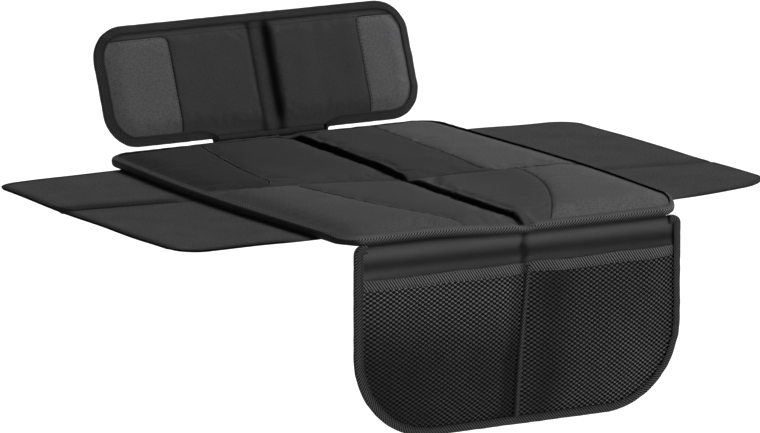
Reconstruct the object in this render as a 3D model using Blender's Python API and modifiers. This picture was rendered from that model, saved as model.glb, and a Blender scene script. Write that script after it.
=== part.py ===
"""Car seat protector mat: a quilted seat pad with a hinged back pad, a wing sheet under it, and a front flap
with two net pockets.

The origin is the centre of the wing sheet's flat underside. X runs to the right, Y to the rear and Z up.
"""

import math
from dataclasses import dataclass

import bmesh
import bpy
import numpy as np

# Cloth, tape and clearances
GAP = 0.0003
COVER_CLOTH = 0.0010
LINING_CLOTH = 0.0010
TAPE = 0.0008
TAPE_CORNER = 0.0007
FOAM_EASE = 0.0006
LIP_CLEAR = 0.0015
PUFF_CORNER_EASE = 0.016
CUTTER_REACH = 0.030

# Seat pad
SEAT_WIDTH = 0.450
SEAT_DEPTH = 0.560
SEAT_FRONT_RADIUS = 0.025
SEAT_REAR_RADIUS = 0.034
SEAT_LIP = 0.009
SEAT_EDGE_FOAM = 0.0032
SEAT_CROWN_FOAM = 0.0080
SEAT_SHOULDER = 0.022
SEAT_CHANNEL_FRONT_X = 0.010
SEAT_CHANNEL_REAR_X = 0.024
SEAT_CHANNEL_HALF = 0.003
SEAT_CHANNEL_SHOULDER = 0.017
SEAT_CREASE_Y = -0.013
SEAT_CREASE_SLANT = -0.165
SEAT_CREASE_DEPTH = 0.0025
SEAT_CREASE_SHOULDER = 0.018
SEAT_NOTCH_DEPTH = 0.0025
SEAT_NOTCH_HALF = 0.014

# Accent panels on the seat: how far out the inner seam stands at the crease, half way and at the end
REAR_RIGHT_SEAM = (0.113, 0.121, 0.134)
REAR_LEFT_SEAM = (-0.139, -0.127, -0.102)
FRONT_RIGHT_SEAM = (0.145, 0.118, 0.050)
FRONT_LEFT_SEAM = (-0.125, -0.100, -0.055)
REAR_SEAM_CORNER = 0.022
FRONT_SEAM_CORNER = 0.006
CREASE_STRIP_HALF = 0.004

# Back pad
BACK_WIDTH = 0.426
BACK_HEIGHT = 0.143
BACK_OFFSET = 0.0035
BACK_RADIUS = 0.040
BACK_LIP = 0.012
BACK_LEAN = math.radians(21)
BACK_EDGE_FOAM = 0.0030
BACK_CROWN_FOAM = 0.0062
BACK_SHOULDER = 0.012
BACK_CHANNEL_X = 0.0075
BACK_CHANNEL_HALF = 0.008
BACK_CHANNEL_SHOULDER = 0.008
BACK_FOOT_BEHIND_SEAT = 0.0050
BACK_FOOT_HEIGHT = 0.017
BACK_PATCH_LEFT_X = -0.1165
BACK_PATCH_RIGHT_X = 0.1425
BACK_PATCH_CORNER = 0.009
BACK_PATCH_TOP_INSET = 0.017

# Neck between the pads
NECK_WIDTH = 0.115
NECK_CLOTH = 0.0012
NECK_TUCK = 0.018
NECK_RISE = 0.022
NECK_BEND = 0.004

# Wing sheet
WING_CLOTH = 0.0020
WING_REACH = 0.172
WING_BELLY = 0.006
WING_FRONT_Y = -0.223
WING_REAR_Y = 0.230
WING_RADIUS = 0.034
WING_ROOT_FLARE = 0.018
WING_CREASE_DEPTH = 0.0008

# Front flap and its pockets
FLAP_WIDTH = 0.430
FLAP_OFFSET = 0.007
FLAP_DROP = 0.228
FLAP_RADIUS = 0.100
FLAP_TOP_RADIUS = 0.010
FLAP_TOP_TURN = 0.014
FLAP_TOP_Y = -0.002
FLAP_LEAF_CLEAR = 0.005
FLAP_SETBACK = 0.0030
FLAP_LIP = 0.0095
FLAP_CLOTH = 0.0012
FLAP_TUCK = 0.015
FLAP_BEND = 0.0035
FLAP_WAVE_DEPTH = 0.0012
FLAP_HALF_WAVES = 3
FLAP_FOLD_DEPTH = 0.0015
FLAP_FOLD_HALF = 0.018
NET_CLOTH = 0.0008
NET_TOP = 0.0412
NET_BULGE = 0.0080
NET_SHOULDER = 0.040
NET_CORNER_EASE = 0.045
NET_MOUTH_SHARE = 0.90
POCKET_SEAM_X = 0.007
HEM_TAPE_WIDTH = 0.012
NET_HOLE_RADIUS = 0.0036
NET_HOLE_PITCH = 0.0230
NET_HOLE_MARGIN = 0.010

# Mesh fineness
ARC_STEPS = 6
SHOULDER_STEPS = (0.0, 0.2, 0.5, 1.0)
SEAM_STEPS = 8
BEND_STEPS = 3
WAVE_STEPS = 9
NET_COLUMN_SHARES = (0.0, 0.08, 0.2, 0.35, 0.5, 0.65, 0.8, 0.92)
NET_ROW_SHARES = (1.0, 0.95, 0.86, 0.74, 0.56, 0.36, 0.16, 0.0)

# Heights that follow from the layers
SEAT_BASE_Z = WING_CLOTH + GAP
LINING_BOTTOM = TAPE + GAP
FOAM_BOTTOM = LINING_BOTTOM + LINING_CLOTH + GAP
LAYER_INSET = TAPE + GAP


@dataclass(frozen=True)
class Pad:
    """Sizes of one quilted pad, measured from its own centre and from the underside of its edge tape."""

    width: float
    depth: float
    front_radius: float
    rear_radius: float
    lip: float
    edge_foam: float
    crown_foam: float
    shoulder: float
    channel_front_x: float
    channel_rear_x: float
    channel_half: float
    channel_shoulder: float
    crease_y: float
    crease_slant: float
    crease_depth: float
    crease_shoulder: float
    notch_depth: float

    @property
    def edge_top(self):
        return FOAM_BOTTOM + self.edge_foam + GAP + COVER_CLOTH

    @property
    def crown_top(self):
        return FOAM_BOTTOM + self.crown_foam + FOAM_EASE + COVER_CLOTH

    @property
    def channel_top(self):
        return FOAM_BOTTOM + GAP + COVER_CLOTH

    @property
    def tape_height(self):
        return self.edge_top + GAP + TAPE

    def channel_x(self, y):
        """Where the middle channel runs at the given depth."""
        share = y / self.depth + 0.5
        return self.channel_front_x + (self.channel_rear_x - self.channel_front_x) * share

    def crease_at(self, x):
        """Where the cross crease runs at the given width."""
        return self.crease_y + self.crease_slant * x

    def notch(self, x, y):
        """How far the edge dips where the channel runs out under the tape."""
        across = abs(x - self.channel_x(y)) / SEAT_NOTCH_HALF
        return self.notch_depth * max(0.0, 1.0 - across**2)

    def height(self, x, y):
        """Top of the cover cloth: flat under the tape, full over each foam cell, low in the seams."""
        half = (self.width / 2, self.depth / 2)
        radius = self.front_radius if y < 0 else self.rear_radius
        inside = edge_distance(x, y, half, radius + PUFF_CORNER_EASE)
        from_edge = rise(inside - self.lip - LIP_CLEAR, self.shoulder)
        from_channel = rise(abs(x - self.channel_x(y)) - self.channel_half, self.channel_shoulder)
        from_crease = rise(abs(y - self.crease_at(x)), self.crease_shoulder)
        edge = self.edge_top - self.notch(x, y)
        cell = self.crown_top - self.crease_depth * (1.0 - from_crease)
        field = self.channel_top + (cell - self.channel_top) * from_channel
        return edge + (field - edge) * from_edge


SEAT = Pad(
    width=SEAT_WIDTH,
    depth=SEAT_DEPTH,
    front_radius=SEAT_FRONT_RADIUS,
    rear_radius=SEAT_REAR_RADIUS,
    lip=SEAT_LIP,
    edge_foam=SEAT_EDGE_FOAM,
    crown_foam=SEAT_CROWN_FOAM,
    shoulder=SEAT_SHOULDER,
    channel_front_x=SEAT_CHANNEL_FRONT_X,
    channel_rear_x=SEAT_CHANNEL_REAR_X,
    channel_half=SEAT_CHANNEL_HALF,
    channel_shoulder=SEAT_CHANNEL_SHOULDER,
    crease_y=SEAT_CREASE_Y,
    crease_slant=SEAT_CREASE_SLANT,
    crease_depth=SEAT_CREASE_DEPTH,
    crease_shoulder=SEAT_CREASE_SHOULDER,
    notch_depth=SEAT_NOTCH_DEPTH,
)

BACK = Pad(
    width=BACK_WIDTH,
    depth=BACK_HEIGHT,
    front_radius=BACK_RADIUS,
    rear_radius=BACK_RADIUS,
    lip=BACK_LIP,
    edge_foam=BACK_EDGE_FOAM,
    crown_foam=BACK_CROWN_FOAM,
    shoulder=BACK_SHOULDER,
    channel_front_x=BACK_CHANNEL_X,
    channel_rear_x=BACK_CHANNEL_X,
    channel_half=BACK_CHANNEL_HALF,
    channel_shoulder=BACK_CHANNEL_SHOULDER,
    crease_y=0.0,
    crease_slant=0.0,
    crease_depth=0.0,
    crease_shoulder=BACK_SHOULDER,
    notch_depth=0.0,
)


# Plane geometry


def rise(distance, width):
    """A round shoulder: 0 at the seam, 1 from the given width on."""
    share = min(max(distance / width, 0.0), 1.0)
    return math.sin(share * math.pi / 2)


def edge_distance(x, y, half, radius):
    """How far a point lies inside a rounded rectangle centred on the origin."""
    over_x = abs(x) - (half[0] - radius)
    over_y = abs(y) - (half[1] - radius)
    outside = math.hypot(max(over_x, 0.0), max(over_y, 0.0))
    return radius - outside - min(max(over_x, over_y), 0.0)


def rounded_path(corners, closed=True):
    """Points through (x, y, radius) corners, each rounded by an arc of its radius."""
    points = []
    count = len(corners)
    for index, (x, y, radius) in enumerate(corners):
        at_end = not closed and index in (0, count - 1)
        if radius <= 0.0 or at_end:
            points.append((x, y))
            continue
        corner = np.array((x, y))
        before = np.array(corners[index - 1][:2]) - corner
        after = np.array(corners[(index + 1) % count][:2]) - corner
        before /= np.linalg.norm(before)
        after /= np.linalg.norm(after)
        half_angle = math.acos(float(np.clip(before @ after, -1.0, 1.0))) / 2
        bisector = (before + after) / np.linalg.norm(before + after)
        centre = corner + bisector * radius / math.sin(half_angle)
        start = corner + before * radius / math.tan(half_angle) - centre
        end = corner + after * radius / math.tan(half_angle) - centre
        sweep = math.atan2(start[0] * end[1] - start[1] * end[0], float(start @ end))
        for step in range(ARC_STEPS + 1):
            angle = sweep * step / ARC_STEPS
            turned = (
                start[0] * math.cos(angle) - start[1] * math.sin(angle),
                start[0] * math.sin(angle) + start[1] * math.cos(angle),
            )
            points.append((float(centre[0] + turned[0]), float(centre[1] + turned[1])))
    return points


def both_sides(offsets):
    """The offsets and their mirror images in rising order, with a zero kept once."""
    return sorted({-value for value in offsets} | set(offsets))


def half_lattice(half, seam_half, seam_shoulder, edge_flat, edge_shoulder, fill):
    """Offsets from the seam in the middle to the edge, close together on both shoulders."""
    seam_side = [seam_half + step * seam_shoulder for step in SHOULDER_STEPS]
    edge_side = [half - edge_flat - step * edge_shoulder for step in reversed(SHOULDER_STEPS)]
    between = np.linspace(seam_side[-1], edge_side[0], fill + 2)[1:-1]
    return [*seam_side, *map(float, between), *edge_side]


# Blender helpers


def clear_scene():
    for obj in list(bpy.data.objects):
        bpy.data.objects.remove(obj, do_unlink=True)


def new_collection(name):
    made = bpy.data.collections.new(name)
    bpy.context.scene.collection.children.link(made)
    return made


def new_material(name, colour, roughness):
    made = bpy.data.materials.new(name)
    made.use_nodes = True
    shader = made.node_tree.nodes["Principled BSDF"]
    shader.inputs["Base Color"].default_value = (*colour, 1.0)
    shader.inputs["Roughness"].default_value = roughness
    shader.inputs["Metallic"].default_value = 0.0
    return made


def new_frame(name, location=(0.0, 0.0, 0.0), turn_x=0.0):
    """An empty that carries the pieces of one sub-assembly."""
    made = bpy.data.objects.new(name, None)
    made.location = location
    made.rotation_euler = (turn_x, 0.0, 0.0)
    PARTS.objects.link(made)
    return made


def add_piece(name, mesh, frame, material, smooth_angle=math.radians(40)):
    made = bpy.data.objects.new(name, mesh)
    made.parent = frame
    mesh.materials.append(material)
    mesh.shade_smooth()
    mesh.set_sharp_from_angle(angle=smooth_angle)
    PARTS.objects.link(made)
    return made


def add_cutter(name, mesh, frame):
    made = bpy.data.objects.new(name, mesh)
    made.parent = frame
    made.hide_render = True
    made.display_type = "WIRE"
    CUTTERS.objects.link(made)
    return made


def curve_object(name, points, closed, flat):
    data = bpy.data.curves.new(name, "CURVE")
    data.dimensions = "2D" if flat else "3D"
    data.twist_mode = "Z_UP"
    spline = data.splines.new("POLY")
    spline.points.add(len(points) - 1)
    for target, point in zip(spline.points, points):
        target.co = (*point, 1.0) if len(point) == 3 else (*point, 0.0, 1.0)
    spline.use_cyclic_u = closed
    made = bpy.data.objects.new(name, data)
    bpy.context.scene.collection.objects.link(made)
    return made


def curve_to_mesh(name, curve, *guides):
    """The curve's surface as a welded mesh. The curve and its guides are removed."""
    bpy.context.view_layer.update()
    evaluated = curve.evaluated_get(bpy.context.evaluated_depsgraph_get())
    mesh = bpy.data.meshes.new_from_object(evaluated)
    mesh.name = name
    shape = bmesh.new()
    shape.from_mesh(mesh)
    bmesh.ops.remove_doubles(shape, verts=shape.verts, dist=0.00001)
    shape.to_mesh(mesh)
    shape.free()
    for spent in (curve, *guides):
        bpy.data.objects.remove(spent, do_unlink=True)
    return mesh


def slab_mesh(name, outline, bottom, top):
    """A flat outline filled and extruded between two heights."""
    curve = curve_object(name, outline, closed=True, flat=True)
    curve.data.fill_mode = "BOTH"
    curve.data.extrude = (top - bottom) / 2
    mesh = curve_to_mesh(name, curve)
    for vertex in mesh.vertices:
        vertex.co.z += (top + bottom) / 2
    return mesh


def grid_mesh(name, columns, rows, place):
    """A grid whose point in each column and row is put where place says."""
    shape = bmesh.new()
    bmesh.ops.create_grid(shape, x_segments=len(columns) - 1, y_segments=len(rows) - 1, size=1.0)
    shape.verts.ensure_lookup_table()
    for index, vertex in enumerate(shape.verts):
        row, column = divmod(index, len(columns))
        vertex.co = place(columns[column], rows[row])
    mesh = bpy.data.meshes.new(name)
    shape.to_mesh(mesh)
    shape.free()
    return mesh


def tape_mesh(name, path, section, closed):
    """A section of (outward, up) points carried along a path whose outward side is on its right."""
    curve = curve_object(name, path, closed, flat=False)
    profile = curve_object(name + "_section", section, closed=False, flat=True)
    curve.data.bevel_mode = "OBJECT"
    curve.data.bevel_object = profile
    return curve_to_mesh(name, curve, profile)


def folded_section(lip, depth):
    """A tape folded over an edge that lies on its inner side, from its front lip to its rear lip."""
    return [
        (-lip, depth),
        (-TAPE_CORNER, depth),
        (0.0, depth - TAPE_CORNER),
        (0.0, TAPE_CORNER),
        (-TAPE_CORNER, 0.0),
        (-lip, 0.0),
    ]


def add_thickness(piece, thickness):
    """Cloth laid under the surface, so that the surface stays the outer face."""
    shell = piece.modifiers.new("cloth", "SOLIDIFY")
    shell.thickness = thickness
    shell.offset = -1.0
    shell.use_even_offset = True


def prism_cutter(name, outline, frame):
    """A cutter of the given outline that reaches past both faces of any layer."""
    return add_cutter(name, slab_mesh(name, outline, -CUTTER_REACH, CUTTER_REACH), frame)


def cut(piece, operation, cutter):
    step = piece.modifiers.new(operation.lower(), "BOOLEAN")
    step.operation = operation
    step.solver = "EXACT"
    step.object = cutter


# Pads


def pad_outline(pad, inset):
    """The pad's rounded outline, with extra points at the notches where the channel ends."""
    x = pad.width / 2 - inset
    y = pad.depth / 2 - inset
    front = pad.front_radius - inset
    rear = pad.rear_radius - inset
    notch = [share * SEAT_NOTCH_HALF for share in (-1.0, -0.5, 0.0, 0.5, 1.0)]
    front_notch = [(pad.channel_front_x + offset, -y, 0.0) for offset in notch]
    rear_notch = [(pad.channel_rear_x - offset, y, 0.0) for offset in notch]
    if not pad.notch_depth:
        front_notch = []
        rear_notch = []
    corners = [(-x, -y, front), *front_notch, (x, -y, front), (x, y, rear), *rear_notch, (-x, y, rear)]
    return rounded_path(corners)


def pad_lattice(pad, columns_fill, rows_fill):
    """Column and row offsets of the pad's quilted surface, from the middle to the tape's inner edge."""
    flat = pad.lip + LIP_CLEAR
    columns = half_lattice(
        pad.width / 2, pad.channel_half, pad.channel_shoulder, flat, pad.shoulder, columns_fill
    )
    rows = half_lattice(pad.depth / 2, 0.0, pad.crease_shoulder, flat, pad.shoulder, rows_fill)
    return columns, rows


def quilt_point(pad, x, y):
    """A lattice point moved so that the middle lines follow the channel and the crease."""
    flat = pad.lip + LIP_CLEAR
    moved_x = x + pad.channel_x(y) * max(0.0, 1.0 - abs(x) / (pad.width / 2 - flat))
    moved_y = y + pad.crease_at(x) * max(0.0, 1.0 - abs(y) / (pad.depth / 2 - flat))
    return moved_x, moved_y, pad.height(moved_x, moved_y)


def cover_piece(name, pad, frame, material, lattice, outline):
    """The quilted top cloth, cut to the outline that lies under the edge tape."""
    columns, rows = lattice
    columns = both_sides([*columns, pad.width / 2])
    rows = both_sides([*rows, pad.depth / 2])
    mesh = grid_mesh(name, columns, rows, lambda x, y: quilt_point(pad, x, y))
    piece = add_piece(name, mesh, frame, material)
    add_thickness(piece, COVER_CLOTH)
    cut(piece, "INTERSECT", outline)
    return piece


def foam_piece(name, pad, frame, columns, rows):
    """A foam insert with a flat underside and a top that fills the quilted cell."""
    mesh = grid_mesh(name, columns, rows, lambda x, y: quilt_point(pad, x, y))
    shape = bmesh.new()
    shape.from_mesh(mesh)
    for vertex in shape.verts:
        vertex.co.z -= COVER_CLOTH + FOAM_EASE
    top = list(shape.faces)
    grown = bmesh.ops.extrude_face_region(shape, geom=top)["geom"]
    lower_verts = [item for item in grown if isinstance(item, bmesh.types.BMVert)]
    lower_faces = [item for item in grown if isinstance(item, bmesh.types.BMFace)]
    for vertex in lower_verts:
        vertex.co.z = FOAM_BOTTOM
    bmesh.ops.dissolve_faces(shape, faces=lower_faces)
    bmesh.ops.recalc_face_normals(shape, faces=shape.faces)
    shape.to_mesh(mesh)
    shape.free()
    return add_piece(name, mesh, frame, FOAM)


def edge_tape(name, pad, frame):
    """Binding tape folded round the pad's edge, dipping where the channel runs out."""
    top = pad.tape_height
    section = folded_section(pad.lip, top)
    mesh = tape_mesh(name, pad_outline(pad, 0.0), section, closed=True)
    for vertex in mesh.vertices:
        if vertex.co.z > top / 2:
            vertex.co.z -= pad.notch(vertex.co.x, vertex.co.y)
    piece = add_piece(name, mesh, frame, TWILL_TAPE)
    add_thickness(piece, TAPE)
    return piece


def lining_piece(name, pad, frame):
    outline = pad_outline(pad, LAYER_INSET)
    mesh = slab_mesh(name, outline, LINING_BOTTOM, LINING_BOTTOM + LINING_CLOTH)
    return add_piece(name, mesh, frame, LINING)


# Accent panels of the seat


def seam_x(seam, share):
    """The seam's place at a share of its length, on the curve through its three stated places."""
    start, middle, end = seam
    bend = 2 * (start + end) - 4 * middle
    slope = end - start - bend
    return start + slope * share + bend * share**2


def accent_outline(seam, end_y, corner, ease):
    """Outline of one accent panel, from the crease along its seam and past the pad's side."""
    side = 1.0 if seam[0] > 0 else -1.0
    towards = 1.0 if end_y > 0 else -1.0
    strip = towards * (CREASE_STRIP_HALF + ease)
    start_x = seam[0] + side * ease
    far_x = side * (SEAT_WIDTH / 2 + CUTTER_REACH)
    start_y = SEAT.crease_at(start_x) + strip
    far_y = SEAT.crease_at(far_x) + strip
    past_end = end_y + towards * CUTTER_REACH
    corners = [(start_x, start_y, corner)]
    for step in range(1, SEAM_STEPS + 1):
        share = step / SEAM_STEPS
        corners.append((seam_x(seam, share) + side * ease, start_y + (end_y - start_y) * share, 0.0))
    corners.append((corners[-1][0], past_end, 0.0))
    corners.append((far_x, past_end, 0.0))
    corners.append((far_x, far_y, 0.0))
    return rounded_path(corners)


def build_seat():
    frame = new_frame("seat_frame", (0.0, 0.0, SEAT_BASE_Z))
    lining_piece("seat_lining", SEAT, frame)
    columns, rows = pad_lattice(SEAT, columns_fill=2, rows_fill=3)
    left = [-value for value in reversed(columns[1:])]
    front = [-value for value in reversed(rows[1:])]
    for side, across in (("left", left), ("right", columns[1:])):
        foam_piece(f"seat_foam_front_{side}", SEAT, frame, across, front)
        foam_piece(f"seat_foam_rear_{side}", SEAT, frame, across, rows[1:])
    outline = prism_cutter("seat_outline", pad_outline(SEAT, LAYER_INSET), frame)
    main_panel = cover_piece("seat_main_panel", SEAT, frame, MAIN_CLOTH, (columns, rows), outline)
    accents = {
        "rear_right": (REAR_RIGHT_SEAM, SEAT_DEPTH / 2, REAR_SEAM_CORNER),
        "rear_left": (REAR_LEFT_SEAM, SEAT_DEPTH / 2, REAR_SEAM_CORNER),
        "front_right": (FRONT_RIGHT_SEAM, -SEAT_DEPTH / 2, FRONT_SEAM_CORNER),
        "front_left": (FRONT_LEFT_SEAM, -SEAT_DEPTH / 2, FRONT_SEAM_CORNER),
    }
    for place, (seam, end_y, corner) in accents.items():
        hole = prism_cutter(f"{place}_hole", accent_outline(seam, end_y, corner, 0.0), frame)
        cut(main_panel, "DIFFERENCE", hole)
        field = prism_cutter(f"{place}_field", accent_outline(seam, end_y, corner, GAP), frame)
        panel = cover_piece(f"seat_accent_{place}", SEAT, frame, ACCENT_CLOTH, (columns, rows), outline)
        cut(panel, "INTERSECT", field)
    edge_tape("seat_binding", SEAT, frame)


# Back pad


def back_place():
    """Centre of the back pad's underside: its front edge stands just behind the seat pad and leans back."""
    front_normal = np.array((0.0, -math.cos(BACK_LEAN), math.sin(BACK_LEAN)))
    up = np.array((0.0, math.sin(BACK_LEAN), math.cos(BACK_LEAN)))
    foot = np.array((BACK_OFFSET, SEAT_DEPTH / 2 + BACK_FOOT_BEHIND_SEAT, BACK_FOOT_HEIGHT))
    return foot - front_normal * BACK.tape_height + up * BACK_HEIGHT / 2


def patch_outline(inner_x, ease):
    """Outline of one end patch, with its upper inner corner rounded."""
    side = 1.0 if inner_x > 0 else -1.0
    start_x = inner_x + side * ease
    far_x = side * (BACK_WIDTH / 2 + CUTTER_REACH)
    top = BACK_HEIGHT / 2 - BACK_PATCH_TOP_INSET - ease
    below = -BACK_HEIGHT / 2 - CUTTER_REACH
    return rounded_path(
        [(start_x, below, 0.0), (start_x, top, BACK_PATCH_CORNER), (far_x, top, 0.0), (far_x, below, 0.0)]
    )


def build_back():
    frame = new_frame("back_frame", tuple(back_place()), math.pi / 2 - BACK_LEAN)
    lining_piece("back_lining", BACK, frame)
    columns, rows = pad_lattice(BACK, columns_fill=2, rows_fill=1)
    rows = [0.0, *rows[len(SHOULDER_STEPS) :]]
    left = [-value for value in reversed(columns[1:])]
    for side, across in (("left", left), ("right", columns[1:])):
        foam_piece(f"back_foam_{side}", BACK, frame, across, both_sides(rows))
    outline = prism_cutter("back_outline", pad_outline(BACK, LAYER_INSET), frame)
    main_panel = cover_piece("back_main_panel", BACK, frame, MAIN_CLOTH, (columns, rows), outline)
    for side, inner_x in (("left", BACK_PATCH_LEFT_X), ("right", BACK_PATCH_RIGHT_X)):
        hole = prism_cutter(f"patch_{side}_hole", patch_outline(inner_x, 0.0), frame)
        cut(main_panel, "DIFFERENCE", hole)
        field = prism_cutter(f"patch_{side}_field", patch_outline(inner_x, GAP), frame)
        patch = cover_piece(f"back_accent_{side}", BACK, frame, ACCENT_CLOTH, (columns, rows), outline)
        cut(patch, "INTERSECT", field)
    edge_tape("back_binding", BACK, frame)


def build_neck():
    """The cloth hinge: tucked under the seat pad, bent up and laid along the back pad's rear face."""
    middle_z = SEAT_BASE_Z - GAP - NECK_CLOTH / 2
    foot = back_place()
    up = np.array((0.0, math.sin(BACK_LEAN), math.cos(BACK_LEAN)))
    rear_normal = np.array((0.0, math.cos(BACK_LEAN), -math.sin(BACK_LEAN)))
    foot = foot - up * BACK_HEIGHT / 2 + rear_normal * (GAP + NECK_CLOTH / 2)
    bend_y = foot[1] - (foot[2] - middle_z) * math.tan(BACK_LEAN)
    top = foot + up * NECK_RISE
    corners = [
        (SEAT_DEPTH / 2 - NECK_TUCK, middle_z, 0.0),
        (bend_y, middle_z, NECK_BEND),
        (top[1], top[2], 0.0),
    ]
    curve = curve_object("back_neck", rounded_path(corners, closed=False), closed=False, flat=True)
    curve.data.extrude = NECK_WIDTH / 2
    mesh = curve_to_mesh("back_neck", curve)
    frame = new_frame("neck_frame")
    piece = add_piece("back_neck", mesh, frame, MAIN_CLOTH)
    piece.rotation_euler = (math.pi / 2, 0.0, math.pi / 2)
    add_thickness(piece, NECK_CLOTH)
    piece.modifiers["cloth"].offset = 0.0


# Wing sheet


def wing_outline():
    """Outline of the sheet: long wings with a slight belly, the right one wider where it leaves the pad."""
    tip = SEAT_WIDTH / 2 + WING_REACH
    root = SEAT_WIDTH / 2
    return rounded_path(
        [
            (-tip, WING_FRONT_Y, WING_RADIUS),
            (root, WING_FRONT_Y - WING_ROOT_FLARE, 0.0),
            (tip - WING_BELLY, WING_FRONT_Y, WING_RADIUS),
            (tip, SEAT_CREASE_Y, 0.0),
            (tip - WING_BELLY, WING_REAR_Y, WING_RADIUS),
            (root, WING_REAR_Y + WING_ROOT_FLARE, 0.0),
            (-tip, WING_REAR_Y, WING_RADIUS),
            (-tip - WING_BELLY, SEAT_CREASE_Y, 0.0),
        ]
    )


def build_wing_sheet():
    frame = new_frame("wing_frame")
    mesh = slab_mesh("wing_sheet", wing_outline(), 0.0, WING_CLOTH)
    sheet = add_piece("wing_sheet", mesh, frame, WING_FABRIC)
    shape = bmesh.new()
    length = SEAT_WIDTH + 2 * WING_REACH + 2 * CUTTER_REACH
    square = {"segments": 4, "radius1": WING_CREASE_DEPTH, "radius2": WING_CREASE_DEPTH}
    bmesh.ops.create_cone(shape, **square, depth=length, cap_ends=True)
    mesh = bpy.data.meshes.new("wing_crease")
    shape.to_mesh(mesh)
    shape.free()
    crease = add_cutter("wing_crease", mesh, frame)
    crease.rotation_euler = (0.0, math.pi / 2, math.atan(SEAT_CREASE_SLANT))
    crease.location = (0.0, SEAT_CREASE_Y, WING_CLOTH)
    cut(sheet, "DIFFERENCE", crease)


# Front flap: X across, Y up the flap and Z out of its front, from the rear face of its tape
PANEL_BACK = LAYER_INSET
PANEL_FRONT = PANEL_BACK + FLAP_CLOTH
NET_BACK = PANEL_FRONT + GAP + TAPE + GAP
NET_FRONT = NET_BACK + NET_CLOTH
FLAP_THICKNESS = NET_FRONT + GAP + TAPE
TUCK_TOP = SEAT_BASE_Z - GAP
HANG_START = FLAP_TUCK + FLAP_BEND * math.pi / 2


def flap_corners(inset, top_y):
    x = FLAP_WIDTH / 2 - inset
    bottom = -FLAP_DROP + inset
    radius = FLAP_RADIUS - inset
    return [(-x, top_y, 0.0), (-x, bottom, radius), (x, bottom, radius), (x, top_y, 0.0)]


def flap_inside(x, y, corner_ease=0.0):
    """How far a point lies inside the flap's sides and rounded bottom."""
    half = (FLAP_WIDTH / 2, FLAP_DROP)
    return edge_distance(x, min(y, 0.0), half, FLAP_RADIUS + corner_ease)


def net_depth(x, y):
    """How far the net stands out: slack in each pocket, drawn in at the tape and at the middle seam."""
    from_tape = rise(flap_inside(x, y, NET_CORNER_EASE) - FLAP_LIP - LIP_CLEAR, NET_SHOULDER)
    from_seam = rise(abs(x - POCKET_SEAM_X), NET_SHOULDER)
    down = (-y - NET_TOP) / (FLAP_DROP - NET_TOP)
    slack = NET_MOUTH_SHARE + (1.0 - NET_MOUTH_SHARE) * math.sin(math.pi * min(max(down, 0.0), 1.0))
    return NET_BULGE * from_tape * from_seam * slack


def pocket_columns():
    """Columns that are close together where the net is drawn in, in both pockets."""
    edge = FLAP_WIDTH / 2 - FLAP_LIP - LIP_CLEAR
    left = [-edge + (POCKET_SEAM_X + edge) * share for share in NET_COLUMN_SHARES]
    right = [edge + (POCKET_SEAM_X - edge) * share for share in reversed(NET_COLUMN_SHARES)]
    return [-FLAP_WIDTH / 2, *left, POCKET_SEAM_X, *right, FLAP_WIDTH / 2]


def panel_point(x, run):
    """The flap cloth: its run starts under the seat pad, turns over the bend and hangs with soft waves."""
    if run <= FLAP_TUCK:
        return x, TUCK_TOP, PANEL_FRONT - FLAP_BEND - FLAP_TUCK + run
    if run <= HANG_START:
        angle = (run - FLAP_TUCK) / FLAP_BEND
        y = TUCK_TOP - FLAP_BEND * (1 - math.cos(angle))
        return x, y, PANEL_FRONT - FLAP_BEND * (1 - math.sin(angle))
    y = TUCK_TOP - FLAP_BEND - (run - HANG_START)
    down = min(max(-y / NET_TOP, 0.0), 1.0)
    side = rise(flap_inside(x, y) - FLAP_LIP, FLAP_FOLD_HALF)
    fold = 1.0 - rise(abs(x - POCKET_SEAM_X), FLAP_FOLD_HALF)
    wave = FLAP_WAVE_DEPTH * math.sin(FLAP_HALF_WAVES * math.pi * down) * side
    return x, y, PANEL_FRONT + wave - FLAP_FOLD_DEPTH * fold * math.sin(math.pi * down)


def net_point(x, y):
    return x, y, NET_FRONT + net_depth(x, y)


def net_holes_mesh():
    """Diamond prisms in staggered rows over both pockets."""
    shape = bmesh.new()
    top = -NET_TOP - HEM_TAPE_WIDTH - NET_HOLE_RADIUS - TAPE
    rows = int((FLAP_DROP - FLAP_LIP + top) / NET_HOLE_PITCH)
    per_side = int(FLAP_WIDTH / 2 / NET_HOLE_PITCH)
    for row in range(rows):
        y = top - row * NET_HOLE_PITCH
        shift = (row % 2) / 2
        for step in range(-per_side, per_side + 1):
            x = POCKET_SEAM_X + (step + shift) * NET_HOLE_PITCH
            near_seam = abs(x - POCKET_SEAM_X) < NET_HOLE_MARGIN
            if near_seam or flap_inside(x, y) < FLAP_LIP + NET_HOLE_MARGIN:
                continue
            diamond = {"segments": 4, "radius1": NET_HOLE_RADIUS, "radius2": NET_HOLE_RADIUS}
            made = bmesh.ops.create_cone(shape, **diamond, depth=2 * CUTTER_REACH, cap_ends=True)
            bmesh.ops.translate(shape, verts=made["verts"], vec=(x, y, NET_FRONT))
    mesh = bpy.data.meshes.new("net_holes")
    shape.to_mesh(mesh)
    shape.free()
    return mesh


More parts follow.
